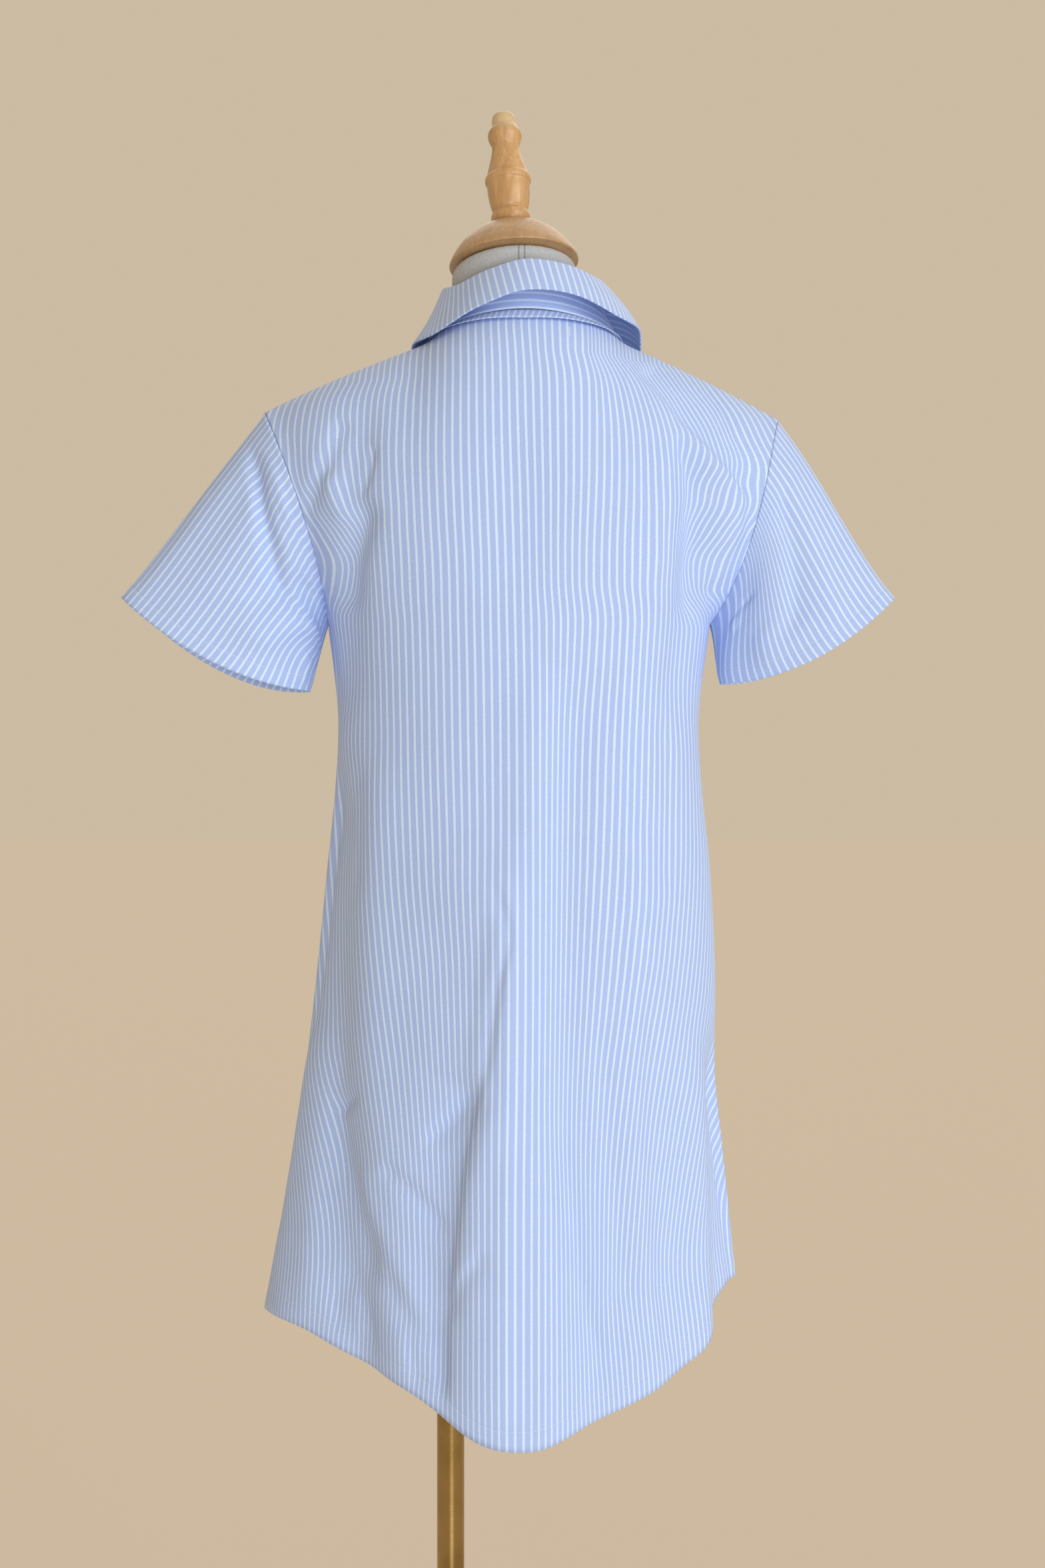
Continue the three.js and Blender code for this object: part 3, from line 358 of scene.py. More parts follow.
def smooth_line(points, pieces=6):
    """Points on a curve through the given ones."""
    p = np.array([points[0], *points, points[-1]], float)
    out = []
    for i in range(1, len(p) - 2):
        for t in np.linspace(0, 1, pieces, endpoint=False):
            out.append(curve(t, p[i], p[i + 1], (p[i + 1] - p[i - 1]) / 2, (p[i + 2] - p[i]) / 2))
    return np.array(out + [p[-2]])


def fold_depth(fold, x, z):
    """How far one fold moves the cloth out at each point of a panel."""
    _, points, left, right, depth, fade = fold
    line = smooth_line(points)
    nearest = np.full(x.shape, 1e9)
    signed = np.zeros(x.shape)
    at = np.zeros(x.shape)
    gone = 0.0
    for a, b in zip(line[:-1], line[1:]):
        d = b - a
        length = math.hypot(*d)
        t = np.clip(((x - a[0]) * d[0] + (z - a[1]) * d[1]) / length**2, 0, 1)
        px, pz = x - a[0] - t * d[0], z - a[1] - t * d[1]
        far = np.hypot(px, pz)
        closer = far < nearest
        nearest = np.where(closer, far, nearest)
        signed = np.where(closer, far * np.sign(d[0] * pz - d[1] * px), signed)
        at = np.where(closer, gone + t * length, at)
        gone += length
    width = np.where(signed < 0, left, right)
    return depth * ease(at / fade) * ease((gone - at) / fade) * np.exp(-((signed / width) ** 2))


def unevenness(x, z, seed):
    """A slow, slight waviness, the same each time."""
    draw = np.random.default_rng(seed)
    total = np.zeros(x.shape)
    for _ in range(14):
        fx, fz, a, b = draw.normal(0, 1 / 34), draw.normal(0, 1 / 60), *draw.uniform(0, 2 * math.pi, 2)
        total += np.sin(x * fx * 2 + z * fz + a) * np.cos(z * fz * 2 - x * fx + b)
    return total / 14


def normals(p):
    """Unit normals of a grid of points, whichever way it winds."""
    return unit(np.cross(np.gradient(p, axis=0), np.gradient(p, axis=1)))


def relax(p, weight, times):
    """Evens out a grid's inside where weight is 1, and leaves its edges."""
    p = p.copy()
    w = weight[1:-1, 1:-1, None]
    for _ in range(times):
        around = (p[:-2, 1:-1] + p[2:, 1:-1] + p[1:-1, :-2] + p[1:-1, 2:]) / 4
        p[1:-1, 1:-1] += w * (around - p[1:-1, 1:-1])
    return p


def folded(p, u, v, folds, seed, facing, relaxing=90):
    """The panel's smooth points, and the same with its folds, which die out at the top and side seams."""
    p = relax(p, (1 - ease((v - 0.22) / 0.12)) + 0 * u, relaxing)
    quiet = ease(v / UPPER * 6) * ease(np.minimum(u, 1 - u) * 24 if facing < 0 else u * 12)
    depth = sum(fold_depth(f, p[..., 0], p[..., 2]) for f in folds)
    depth = depth + 0.9 * unevenness(p[..., 0], p[..., 2], seed)
    return p, p + outwards(facing, p) * (quiet * depth)[..., None]


print(len(BACK_FOLDS), "folds on the back,", len(FRONT_FOLDS), "on the fronts")

# %% [markdown]
# The stripes are woven in, so they follow the cloth and not the world. Each vertex therefore carries two
# cloth coordinates in its UV map: how far it is across the stripes and how far along them. A second map holds
# the distances to the hem and to the side, which the stitching reads. A sheet is a bmesh grid laid on its
# surface and thickened by a Solidify modifier, whose vertex group makes turned-up hems nearly twice as thick.

# %% Sheets of cloth
SINGLE_SHARE = 0.55


def steps(p, axis, weight=(1, 1, 1)):
    """Distances from each point of a grid to the next one, and 0 for the first."""
    d = np.linalg.norm(np.diff(p, axis=axis) * np.array(weight), axis=-1)
    first = np.zeros_like(np.take(d, [0], axis=axis))
    return np.concatenate([first, d], axis=axis)


def grid(columns, rows):
    v, u = np.meshgrid(np.linspace(0, 1, rows + 1), np.linspace(0, 1, columns + 1), indexing="ij")
    return u, v


def own(obj, *nodes):
    """The piece rides on the body and stands for its CAD nodes."""
    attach(obj, "root")
    if nodes:
        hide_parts(*nodes)
    return obj


def sheet_of(name, p, across, along, hem, side, thick=SHELL, hem_width=0.0, material=None):
    """A sheet from grids: its points, cloth coordinates and distances to the hem and side, in millimetres."""
    rows, columns = p.shape[0] - 1, p.shape[1] - 1
    bm = bmesh.new()
    bmesh.ops.create_grid(bm, x_segments=columns, y_segments=rows, size=0.5)
    mesh = mesh_from(bm, name)
    flat = np.zeros(len(mesh.vertices) * 3, np.float32)
    mesh.vertices.foreach_get("co", flat)
    flat = flat.reshape(-1, 3)
    i = np.rint((flat[:, 0] + 0.5) * columns).astype(int)
    j = np.rint((0.5 - flat[:, 1]) * rows).astype(int)
    points = (p[j, i] + np.array([BODY_X, 0, 0])) * MM
    mesh.vertices.foreach_set("co", points.astype(np.float32).ravel())
    corner = np.zeros(len(mesh.loops), np.int32)
    mesh.loops.foreach_get("vertex_index", corner)
    for layer, (a, b) in {"Cloth": (across, along), "Edge": (hem, side)}.items():
        uv = mesh.uv_layers.new(name=layer)
        pair = np.stack([a[j, i][corner], b[j, i][corner]], axis=-1) * MM
        uv.data.foreach_set("uv", pair.astype(np.float32).ravel())
    mesh.shade_smooth()
    obj = placed(name, mesh)
    thickness = obj.modifiers.new("Thickness", "SOLIDIFY")
    thickness.thickness = thick * MM
    thickness.offset = 0
    if hem_width:
        group = obj.vertex_groups.new(name="Turned up")
        doubled = hem[j, i] <= hem_width
        group.add([int(k) for k in np.flatnonzero(doubled)], 1.0, "REPLACE")
        group.add([int(k) for k in np.flatnonzero(~doubled)], SINGLE_SHARE, "REPLACE")
        thickness.vertex_group = group.name
        thickness.thickness = thick * MM / SINGLE_SHARE
    obj.data.materials.append(material)
    area = float(sum(f.area for f in mesh.polygons))
    print(f"{name}: {len(mesh.polygons)} quads, {area:.4f} m2, "
          f"{np.ptp(across) * MM:.3f} x {np.ptp(along) * MM:.3f} m")
    return obj


def between(x, places, values):
    """Values read off straight lines between places, each a grid, and carried on past the ends."""
    out = values[0] + (x - places[0]) * (values[1] - values[0]) / (places[1] - places[0])
    for k in range(len(places) - 1):
        slope = (values[k + 1] - values[k]) / (places[k + 1] - places[k])
        out = np.where(x >= places[k], values[k] + (x - places[k]) * slope, out)
    return np.where(x > places[-1], values[-1] + (x - places[-1]), out)


def grain(p, v, crowd=1.0):
    """How far each point is across the stripes from the middle one, going by the way along its row."""
    flat = ease(v / (UPPER * 0.55))[:, :1]
    x, z = p[..., 0], p[..., 2]
    mid_x, mid_z = (x[:, 1:] + x[:, :-1]) / 2, (z[:, 1:] + z[:, :-1]) / 2
    way = np.sqrt(np.diff(x, axis=1) ** 2 + (flat * np.diff(p[..., 1], axis=1)) ** 2)
    way = way * (1 + (crowding(mid_x, mid_z) - 1) * crowd) * np.sign(np.diff(x, axis=1).mean())
    s = np.concatenate([np.zeros((p.shape[0], 1)), np.cumsum(way, axis=1)], axis=1)
    start = read(STRIPES_MIDDLE, "z", z.mean(axis=1), "n0")
    order = 1 if s[0, -1] > 0 else -1
    return np.array([row - np.interp(at, xs[::order], row[::order]) for row, xs, at in zip(s, x, start)])


def back_grain(p, v):
    """The same for the back, whose stripes run as the tables say above the underarm."""
    x, z = p[..., 0], p[..., 2]
    middle = read(STRIPES_MIDDLE, "z", z, "n0")
    sides = {}
    for way, rows in ((1, STRIPES_RIGHT), (-1, STRIPES_LEFT)):
        numbers = [int(key[1:]) for key in rows if key != "z"]
        places = [0 * z] + [read(rows, "z", z, f"n{n}") - way * middle for n in numbers]
        sides[way] = way * between(way * (x - middle), places, [0] + [n * PITCH for n in numbers])
    drawn = np.where(x > middle, sides[1], sides[-1])
    return mix(grain(p, v), drawn, ease((z - 1150) / 34))


def from_sides(p):
    """The way along each row from the nearer side edge."""
    span = steps(p, 1)
    return np.minimum(np.cumsum(span, axis=1), np.cumsum(span[:, ::-1], axis=1)[:, ::-1])


def lengths(p):
    """The way down each column from the top, and up each column from the hem."""
    down = np.cumsum(steps(p, 0), axis=0)
    return down, down[-1:] - down


print("sheet tools ready")

# %% [markdown]
# The shirting is a light blue cotton twill with narrow white stripes. An image would fix its resolution, so
# the weave, the stripes and the stitching are worked out in the shader from the cloth coordinates. The parts
# that all the pieces share are node groups that give out plain masks, heights and colours.

# %% Shader tools
STRIPE_SHARE = 0.29
TWILL, WEFT, STITCH = 0.95 * MM, 0.6 * MM, 2.6 * MM


def fill(socket, value):
    """Sets a socket to a value, or joins it to another socket."""
    if isinstance(value, bpy.types.NodeSocket):
        socket.id_data.links.new(value, socket)
    else:
        socket.default_value = value


def add(tree, kind, given=(), **settings):
    """The sockets that a new node gives out, once its own are filled."""
    node = tree.nodes.new(kind)
    for key, value in settings.items():
        setattr(node, key, value)
    for name, value in dict(given).items():
        fill(node.inputs[name], value)
    return node.outputs


def work_out(operation, *values):
    """A Math node on sockets and numbers."""
    tree = next(value.id_data for value in values if isinstance(value, bpy.types.NodeSocket))
    return add(tree, "ShaderNodeMath", enumerate(values), operation=operation)[0]


plus, minus, times = (partial(work_out, name) for name in ("ADD", "SUBTRACT", "MULTIPLY"))


def apart(a, b):
    return work_out("ABSOLUTE", minus(a, b))


def wave(value, length):
    return work_out("SINE", times(value, 2 * math.pi / length))


def step(value, low, high, to_low=0.0, to_high=1.0):
    """A smooth step from one value to another."""
    given = {"Value": value, "From Min": low, "From Max": high, "To Min": to_low, "To Max": to_high}
    return add(value.id_data, "ShaderNodeMapRange", given, interpolation_type="SMOOTHSTEP")["Result"]


def until(value, low, high):
    return step(value, low, high, 1.0, 0.0)


def noise(vector, scale, detail=2.0, rough=0.5):
    given = {"Vector": vector, "Scale": scale, "Detail": detail, "Roughness": rough}
    return add(vector.id_data, "ShaderNodeTexNoise", given)["Fac"]


def blend(factor, a, b):
    return add(factor.id_data, "ShaderNodeMix", {0: factor, 6: a, 7: b}, data_type="RGBA")[2]


def parts_of(vector):
    return add(vector.id_data, "ShaderNodeSeparateXYZ", {0: vector})


def group_of(name, numbers, outputs, vector=None):
    """A node group, the sockets that it is given and the ones that it fills."""
    tree = bpy.data.node_groups.new(name, "ShaderNodeTree")
    if vector:
        tree.interface.new_socket(vector, in_out="INPUT", socket_type="NodeSocketVector")
    for socket, value in numbers.items():
        tree.interface.new_socket(socket, in_out="INPUT", socket_type="NodeSocketFloat").default_value = value
    for socket in outputs:
        tree.interface.new_socket(socket, in_out="OUTPUT", socket_type="NodeSocketFloat")
    return tree, tree.nodes.new("NodeGroupInput").outputs, tree.nodes.new("NodeGroupOutput").inputs


def material_of(name, **looks):
    """A material, its tree and its shader's sockets, which are set to the given looks."""
    made = bpy.data.materials.new(name)
    made.use_nodes = True
    made.node_tree.nodes.clear()
    surface = made.node_tree.nodes.new("ShaderNodeBsdfPrincipled")
    add(made.node_tree, "ShaderNodeOutputMaterial", {"Surface": surface.outputs["BSDF"]})
    for look, value in looks.items():
        surface.inputs[look.replace("_", " ")].default_value = value
    return made, made.node_tree, surface.inputs


def bumped(surface, height, strength, distance):
    given = {"Strength": strength, "Distance": distance, "Height": height}
    fill(surface["Normal"], add(height.id_data, "ShaderNodeBump", given)[0])


def own_place(tree, scale=(1, 1, 1)):
    """The object's own coordinates, squeezed or stretched."""
    return add(tree, "ShaderNodeMapping", {0: add(tree, "ShaderNodeTexCoord")["Object"], "Scale": scale})[0]


def weave_group():
    """Stripe mask, thread shade and thread height from the cloth coordinates."""
    tree, given, out = group_of("Striped weave", {"Pitch": PITCH * MM, "Share": STRIPE_SHARE},
                                ("Stripe", "Shade", "Height"), "Cloth")
    cloth = given["Cloth"]
    across, along, _ = parts_of(cloth)
    ragged = times(minus(noise(cloth, 700, 3), 0.5), 0.0009)
    place = work_out("FRACT", work_out("DIVIDE", plus(across, ragged), given["Pitch"]))
    fill(out["Stripe"], step(minus(times(given["Share"], 0.5), apart(place, 0.5)), -0.03, 0.03))
    twill = wave(plus(across, times(along, 0.8)), TWILL)
    threads = plus(times(twill, 0.34), times(wave(along, WEFT), 0.16))
    mottle = minus(noise(cloth, 1100, 3, 0.6), 0.5)
    fill(out["Height"], plus(threads, times(mottle, 0.8)))
    cloud = minus(noise(cloth, 45, 3), 0.5)
    shade = plus(plus(times(mottle, 0.24), times(cloud, 0.05)), times(twill, 0.018))
    fill(out["Shade"], plus(shade, 1.0))
    return tree


def stitch_group():
    """A line of stitches: a mask of the threads and the furrow they lie in."""
    tree, given, out = group_of("Stitching", {"Distance": 0.0, "Along": 0.0, "At": HEM_WIDTH * MM},
                                ("Thread", "Furrow"))
    off = apart(given["Distance"], given["At"])
    dash = apart(work_out("FRACT", work_out("DIVIDE", given["Along"], STITCH)), 0.5)
    fill(out["Thread"], times(until(off, 0.0002, 0.0005), until(dash, 0.3, 0.38)))
    fill(out["Furrow"], until(off, 0.0003, 0.0024))
    return tree


WEAVE, STITCHES = weave_group(), stitch_group()
BLUE = (0.375, 0.50, 0.855, 1)
WHITE = (0.585, 0.735, 1.0, 1)
print("node groups:", WEAVE.name, STITCHES.name)

# %% The shirting
TACK_WAVE, TACK_WOBBLE, TACK_MIDDLE = 1.8 * MM, 0.4 * MM, 21 * MM


def shirting(name, stitch_lines=(), side_line=None, tacks=()):
    """Striped cotton. stitch_lines are distances from the hem, side_line one from the side, and tacks short
    stitched bars just under the neckline, by their place across the stripes, in mm."""
    made, tree, surface = material_of(name, Roughness=0.88, Sheen_Weight=0.16, Sheen_Roughness=0.4,
                                      Specular_IOR_Level=0.25)
    cloth = add(tree, "ShaderNodeUVMap", uv_map="Cloth")[0]
    across, along, _ = parts_of(cloth)
    from_hem, from_side, _ = parts_of(add(tree, "ShaderNodeUVMap", uv_map="Edge")[0])
    stripe, shade, height = add(tree, "ShaderNodeGroup", {"Cloth": cloth}, node_tree=WEAVE)
    scaled = {0: blend(stripe, BLUE, WHITE), "Scale": shade}
    colour = add(tree, "ShaderNodeVectorMath", scaled, operation="SCALE")[0]
    height = times(height, 0.22)
    lines = [(from_hem, across, at) for at in stitch_lines]
    if side_line:
        lines.append((from_side, along, side_line))
    for distance, way, at in lines:
        given = {"Distance": distance, "Along": way, "At": at * MM}
        thread, furrow = add(tree, "ShaderNodeGroup", given, node_tree=STITCHES)
        colour = blend(times(thread, 0.4), colour, (0.7, 0.79, 0.96, 1))
        height = plus(height, plus(times(furrow, -1.1), times(thread, 0.7)))
    for at in tacks:
        off = apart(plus(across, times(wave(along, TACK_WAVE), TACK_WOBBLE)), at * MM)
        bar = times(until(off, 0.0003, 0.0008), until(apart(along, TACK_MIDDLE), 0.005, 0.006))
        colour = blend(times(bar, 0.7), colour, (0.68, 0.79, 0.98, 1))
        height = plus(height, bar)
    fill(surface["Base Color"], colour)
    bumped(surface, height, 0.6, 0.0004)
    return made


BODY_CLOTH = shirting("Shirting, body", stitch_lines=(HEM_WIDTH,), tacks=(-3.8, 42))
FRONT_CLOTH = shirting("Shirting, front", stitch_lines=(HEM_WIDTH,))
BAND_CLOTH = shirting("Shirting, band", side_line=3)
SLEEVE_CLOTH = shirting("Shirting, sleeve", stitch_lines=(CUFF_WIDTH,))
COLLAR_CLOTH = shirting("Shirting, collar")
print("shirting colours", BLUE[:3], WHITE[:3])

# %% The back panel
u, v = grid(230, 176)
smooth_back, back = folded(back_place(u, v), u, v, BACK_FOLDS, 3, -1)
down, up = lengths(back)
across = back_grain(smooth_back, v)
back_panel = sheet_of("Back_cloth", back, across, down, up, from_sides(back), hem_width=HEM_WIDTH,
                      material=BODY_CLOTH)
own(back_panel, "back_panel")

# %% The fronts and the button band
def front(side, name, node):
    u, v = grid(120, 150)
    if side < 0:
        u = 1 - u
    smooth, p = folded(front_place(side, u, v), u, v, FRONT_FOLDS, 5 + side, 1)
    down, up = lengths(p)
    across = grain(smooth, v, 0.5)
    made = sheet_of(name, p, across, down, up, from_sides(p), hem_width=HEM_WIDTH, material=FRONT_CLOTH)
    return own(made, node)


front_left = front(-1, "Front_left_cloth", "front_left")
front_right = front(1, "Front_right_cloth", "front_right")

BAND_TOP = 0.015
u, v = grid(14, 150)
band_u, band_v = mix(1 - PLACKET_SHARE, 1, u), np.maximum(v, BAND_TOP)
band = folded(front_place(1, band_u, band_v), band_u, band_v, FRONT_FOLDS, 6, 1)[1]
band = band - normals(band) * np.sign(normals(band)[..., 1:2]) * -1.05
down, up = lengths(band)
span = np.cumsum(steps(band, 1), axis=1)
button_band = sheet_of("Band_cloth", band, span + 3.1, down, up, np.minimum(span, span[:, -1:] - span),
                       thick=0.9, material=BAND_CLOTH)
own(button_band, "button_band")

# %% [markdown]
# A sleeve is a tube, but its cloth still has an edge: the underarm seam. The grid starts and ends there, and
# each point lies on a curve from the armhole to the hem.

# %% The sleeves
SLEEVES = {
    -1: {"outer": (317, 1179), "inner": (167, 1104), "y": -6, "depth": 34, "back": 15, "fore": 20,
         "fan": (0.22, 0.4)},
    1: {"outer": (302, 1179), "inner": (163, 1110), "y": -2, "depth": 36, "back": 17, "fore": 16,
        "fan": (0.18, -0.5)},
}
HANG_TOP, HANG_UNDER, HANDLE = (0.64, -0.77), (0.31, -0.95), 0.33
TUBE_FOLDS = table("round half deep", (0.13, 0.035, -5), (0.38, 0.05, -4), (0.63, 0.045, -4),
                   (0.84, 0.04, -4))
# On the flat sleeve: round is 0 at the shoulder and a quarter at the middle of the back, down is 1 at the hem
SLEEVE_FOLDS = {
    -1: [("valley", [(0.05, 0.1), (0.15, 0.19), (0.25, 0.31), (0.32, 0.5)], 0.045, 0.03, -6.5, 0.12),
         ("seam bulge", [(0.08, 0.04), (0.2, 0.08), (0.3, 0.14)], 0.03, 0.03, 3, 0.1),
         ("underarm drag", [(0.47, 0.25), (0.36, 0.55), (0.27, 0.92)], 0.035, 0.05, 4.5, 0.2),
         ("underarm valley", [(0.42, 0.1), (0.33, 0.35), (0.26, 0.65)], 0.03, 0.03, -3.5, 0.15),
         ("hem tuck", [(0.44, 0.6), (0.43, 0.98)], 0.02, 0.02, 1.6, 0.12),
         ("top ripple", [(0.04, 0.45), (0.05, 1.0)], 0.015, 0.02, -1.2, 0.2)],
    1: [("ridge", [(0.12, 0.0), (0.14, 0.4), (0.2, 1.0)], 0.03, 0.04, 2.5, 0.2),
        ("valley", [(0.19, 0.08), (0.22, 0.45), (0.27, 0.85)], 0.03, 0.03, -3.5, 0.15),
        ("underarm pinch", [(0.40, 0.25), (0.35, 0.4)], 0.015, 0.02, -2.2, 0.08),
        ("underarm pinch two", [(0.43, 0.3), (0.41, 0.5)], 0.012, 0.02, 1.8, 0.08),
        ("hem wave", [(0.33, 0.6), (0.32, 1.0)], 0.03, 0.03, 2, 0.15)],
}


def armhole(side, turn):
    facing = np.where(turn <= 0.5, -1, 1)
    t = np.where(turn <= 0.5, turn * 2, (1 - turn) * 2)
    zero = 0 * t
    edges = {}
    for f, rows in ((-1, BACK_RISE), (1, FRONT_RISE)):
        top = top_seam(f, side + zero, zero, 0)
        foot = ring(f, side * math.pi / 2 + zero, UNDERARM_Z + zero)
        edges[f] = rise(rows, f, side + zero, zero, top, foot, t)
    return np.where((facing < 0)[..., None], edges[-1], edges[1])


def sleeve_place(side, turn, v):
    """turn goes once round from the shoulder over the back, the underarm and the front."""
    hem = SLEEVES[side]
    angle = turn * 2 * math.pi
    top = ease((np.cos(angle) + 1) / 2)
    way = lambda two: np.array([side * two[0], 0, two[1]])
    along = unit(mix(way(HANG_UNDER), way(HANG_TOP), top[..., None]))
    (ox, oz), (ix, iz) = hem["outer"], hem["inner"]
    sag = np.sin(angle) ** 2 * np.where(turn <= 0.5, hem["back"], hem["fore"])
    foot = xyz(side * ((ox + ix) / 2 + (ox - ix) / 2 * np.cos(angle)),
               hem["y"] - hem["depth"] * np.sin(angle),
               (oz + iz) / 2 + (oz - iz) / 2 * np.cos(angle) - sag)
    start = armhole(side, turn)
    start = start + unit(xyz(start[..., 0] / 152, start[..., 1] / 60, 0)) * 0.35
    length = np.linalg.norm(start - foot, axis=-1, keepdims=True)
    p = bezier(start, start + along * length * HANDLE, foot - along * length * HANDLE, foot, v)
    level = xyz(0 * turn, np.sign(-np.sin(angle)), 0)
    spread = unit(mix(level, way((1, 0.8)), top[..., None]))
    fold = sum(d * np.exp(-(((turn - r) / h) ** 2))
               for r, h, d in zip(TUBE_FOLDS["round"], TUBE_FOLDS["half"], TUBE_FOLDS["deep"]))
    return p + spread * (fold * ease(v * 3) * mix(1, 0.55, v))[..., None]


def sleeve_grain(side, p, turn, v):
    """The stripes run along the sleeve's top edge, and fan out to go straight down at its inner side."""
    tip, corner = SHOULDER[side], SLEEVES[side]["outer"]
    edge = unit(np.array([side * (corner[0] - tip[0]), 0.0, corner[1] - tip[1]]))
    around = np.diff(p, axis=1)
    around = around - np.sum(around * edge, axis=-1, keepdims=True) * edge
    around[..., 1] *= mix(0.6, 1, ease(np.minimum(turn, 1 - turn)[:, 1:] / 0.16))
    around = np.cumsum(np.linalg.norm(around, axis=-1), axis=1)
    s = np.concatenate([np.zeros((p.shape[0], 1)), around], axis=1)
    s = s - s[:, 75:76]
    round_from, down_from = SLEEVES[side]["fan"]
    inner = ease((np.minimum(turn, 1 - turn) - round_from) / 0.2) * ease((v - down_from) / 0.5)
    return mix(s, s[-1:], inner)


def sleeve(side, name, node):
    u, v = grid(150, 64)
    turn = (u + 0.5) % 1 if side < 0 else (1.5 - u) % 1
    turn = np.where((u == 0) | (u == 1), 0.5 + (1e-6 if side < 0 else -1e-6) * np.where(u == 0, 1, -1), turn)
    p = relax(sleeve_place(side, turn, v), np.ones_like(u), 6)
    depth = sum(fold_depth(f, turn, v) for f in SLEEVE_FOLDS[side])
    depth = depth + 0.7 * unevenness(turn * 360, v * 150, 9 + side)
    n = normals(p)
    out = np.sign(np.sum(n * (p - p.mean(axis=1, keepdims=True)), axis=-1, keepdims=True))
    p = p + n * out * (depth * ease(v * 5) * ease(np.abs(turn - 0.5) * 30))[..., None]
    down, up = lengths(p)
    across = sleeve_grain(side, p, turn, v)
    made = sheet_of(name, p, across, down, up, down, hem_width=CUFF_WIDTH, material=SLEEVE_CLOTH)
    return own(made, node)


sleeve_left = sleeve(-1, "Sleeve_left_cloth", "sleeve_left")
sleeve_right = sleeve(1, "Sleeve_right_cloth", "sleeve_right")

# %% The collar: stand, fall and the binding under them
COLLAR = table(
    "deg stand lean drop out bow",
    (-154, 24, -2, 50, 42, 2), (-125, 33, 7, 47, 31, 0), (-90, 40, 14, 44, 24, -2), (-50, 30, 12, 40, 23, -1),
    (-20, 32, 8, 31, 20, 1), (0, 36, 7, 27, 19, 1), (25, 36, 8, 27, 20, 1), (50, 37, 12, 35, 26, 2),
    (90, 43, 16, 38, 28, 2), (125, 36, 8, 47, 34, 2), (154, 24, -2, 50, 44, 2),
)
FOLD_RADIUS, FOLD_SHARE = 2.6, 0.22
COLLAR_END = 154
BINDING_WIDTH, BINDING_PITCH = 11, 4.7


def collar_at(share):
    deg = mix(-COLLAR_END, COLLAR_END, share)
    a = np.radians(deg)
    return neckline(deg), xyz(np.sin(a), -np.cos(a), 0 * a), lambda c: read(COLLAR, "deg", deg, c)


def stand_place(share, v):
    seam, out, value = collar_at(share)
    rise_to = mix(value("stand"), 1.2, v)
    p = seam - out * (value("lean") * np.sin(rise_to / value("stand") * math.pi / 2))[..., None]
    p[..., 2] = seam[..., 2] + rise_to
    return p, rise_to


def fall_place(share, v):
    seam, out, value = collar_at(share)
    end = math.pi / 2 - np.arctan2(value("drop"), value("out"))
    a = mix(math.pi, end, np.minimum(1, v / FOLD_SHARE))
    t = np.maximum(0, (v - FOLD_SHARE) / (1 - FOLD_SHARE))
    over = FOLD_RADIUS * (1 + np.cos(a)) + value("out") * t + np.sin(t * math.pi) * value("bow")
    p = seam + out * (over - value("lean"))[..., None]
    p[..., 2] = seam[..., 2] + value("stand") + SEAM + 0.8 + FOLD_RADIUS * np.sin(a) - value("drop") * t
    return p


u, v = grid(150, 14)
stand, height = stand_place(u, v)
run = np.cumsum(steps(stand, 1), axis=1)
collar_stand = sheet_of("Collar_stand_cloth", stand, height + 1.5, run, height, run, thick=1.3,
                        material=COLLAR_CLOTH)
own(collar_stand, "collar_stand")

u, v = grid(200, 40)
fall = fall_place(u, v)
ripple = 0.7 * unevenness(u * 460, v * 60, 21) * ease((v - 0.3) / 0.5)
fall = fall + normals(fall) * ripple[..., None]
run = np.cumsum(steps(fall, 1), axis=1)
down, up = lengths(fall)
across = run - run[:, 100:101] - v * 8
collar_fall = sheet_of("Collar_fall_cloth", fall, across, down, up, up, thick=1.3, material=COLLAR_CLOTH)
own(collar_fall, "collar_fall")

u, v = grid(120, 4)
panel_u = mix(0.5 - (1 - NECK_SHARE) / 2, 0.5 + (1 - NECK_SHARE) / 2, u)
top = back_place(panel_u, 0 * v)
below = back_place(panel_u, UPPER / 8 + 0 * v)
reach = np.linalg.norm(below - top, axis=-1)
from_top = BINDING_WIDTH * v
binding = mix(top, below, ((1.4 + from_top) / reach)[..., None])
run = np.cumsum(steps(binding, 1), axis=1)[0]
binding = binding + normals(binding) * np.sign(-normals(binding)[..., 1:2]) * 1.2
across = (run - run[60]) * PITCH / BINDING_PITCH + 3 * v
neck_binding = sheet_of("Binding_cloth", binding, across, from_top, from_top, from_top, thick=0.6,
                        material=COLLAR_CLOTH)
own(neck_binding, "neck_binding")

# %% [markdown]
# The form and its stand are smooth and hard, so they need clean curves and no folds. The torso is the solid's
# own mesh, merged and subdivided. What was turned on a lathe is spun here too, from a table of heights and
# radii.

# %% The form's torso
torso_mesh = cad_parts["form_torso"].data.copy()
bm = bmesh.new()
bm.from_mesh(torso_mesh)
bmesh.ops.remove_doubles(bm, verts=bm.verts, dist=1e-5)
bmesh.ops.join_triangles(bm, faces=bm.faces, angle_face_threshold=1.2, angle_shape_threshold=1.2)
bm.to_mesh(torso_mesh)
bm.free()
torso_mesh.materials.clear()
torso_mesh.shade_smooth()
torso = placed("Form_cover", torso_mesh)
smooth = torso.modifiers.new("Smooth", "SUBSURF")
smooth.levels = smooth.render_levels = 2
own(torso, "form_torso")
print("torso faces", len(torso_mesh.polygons))

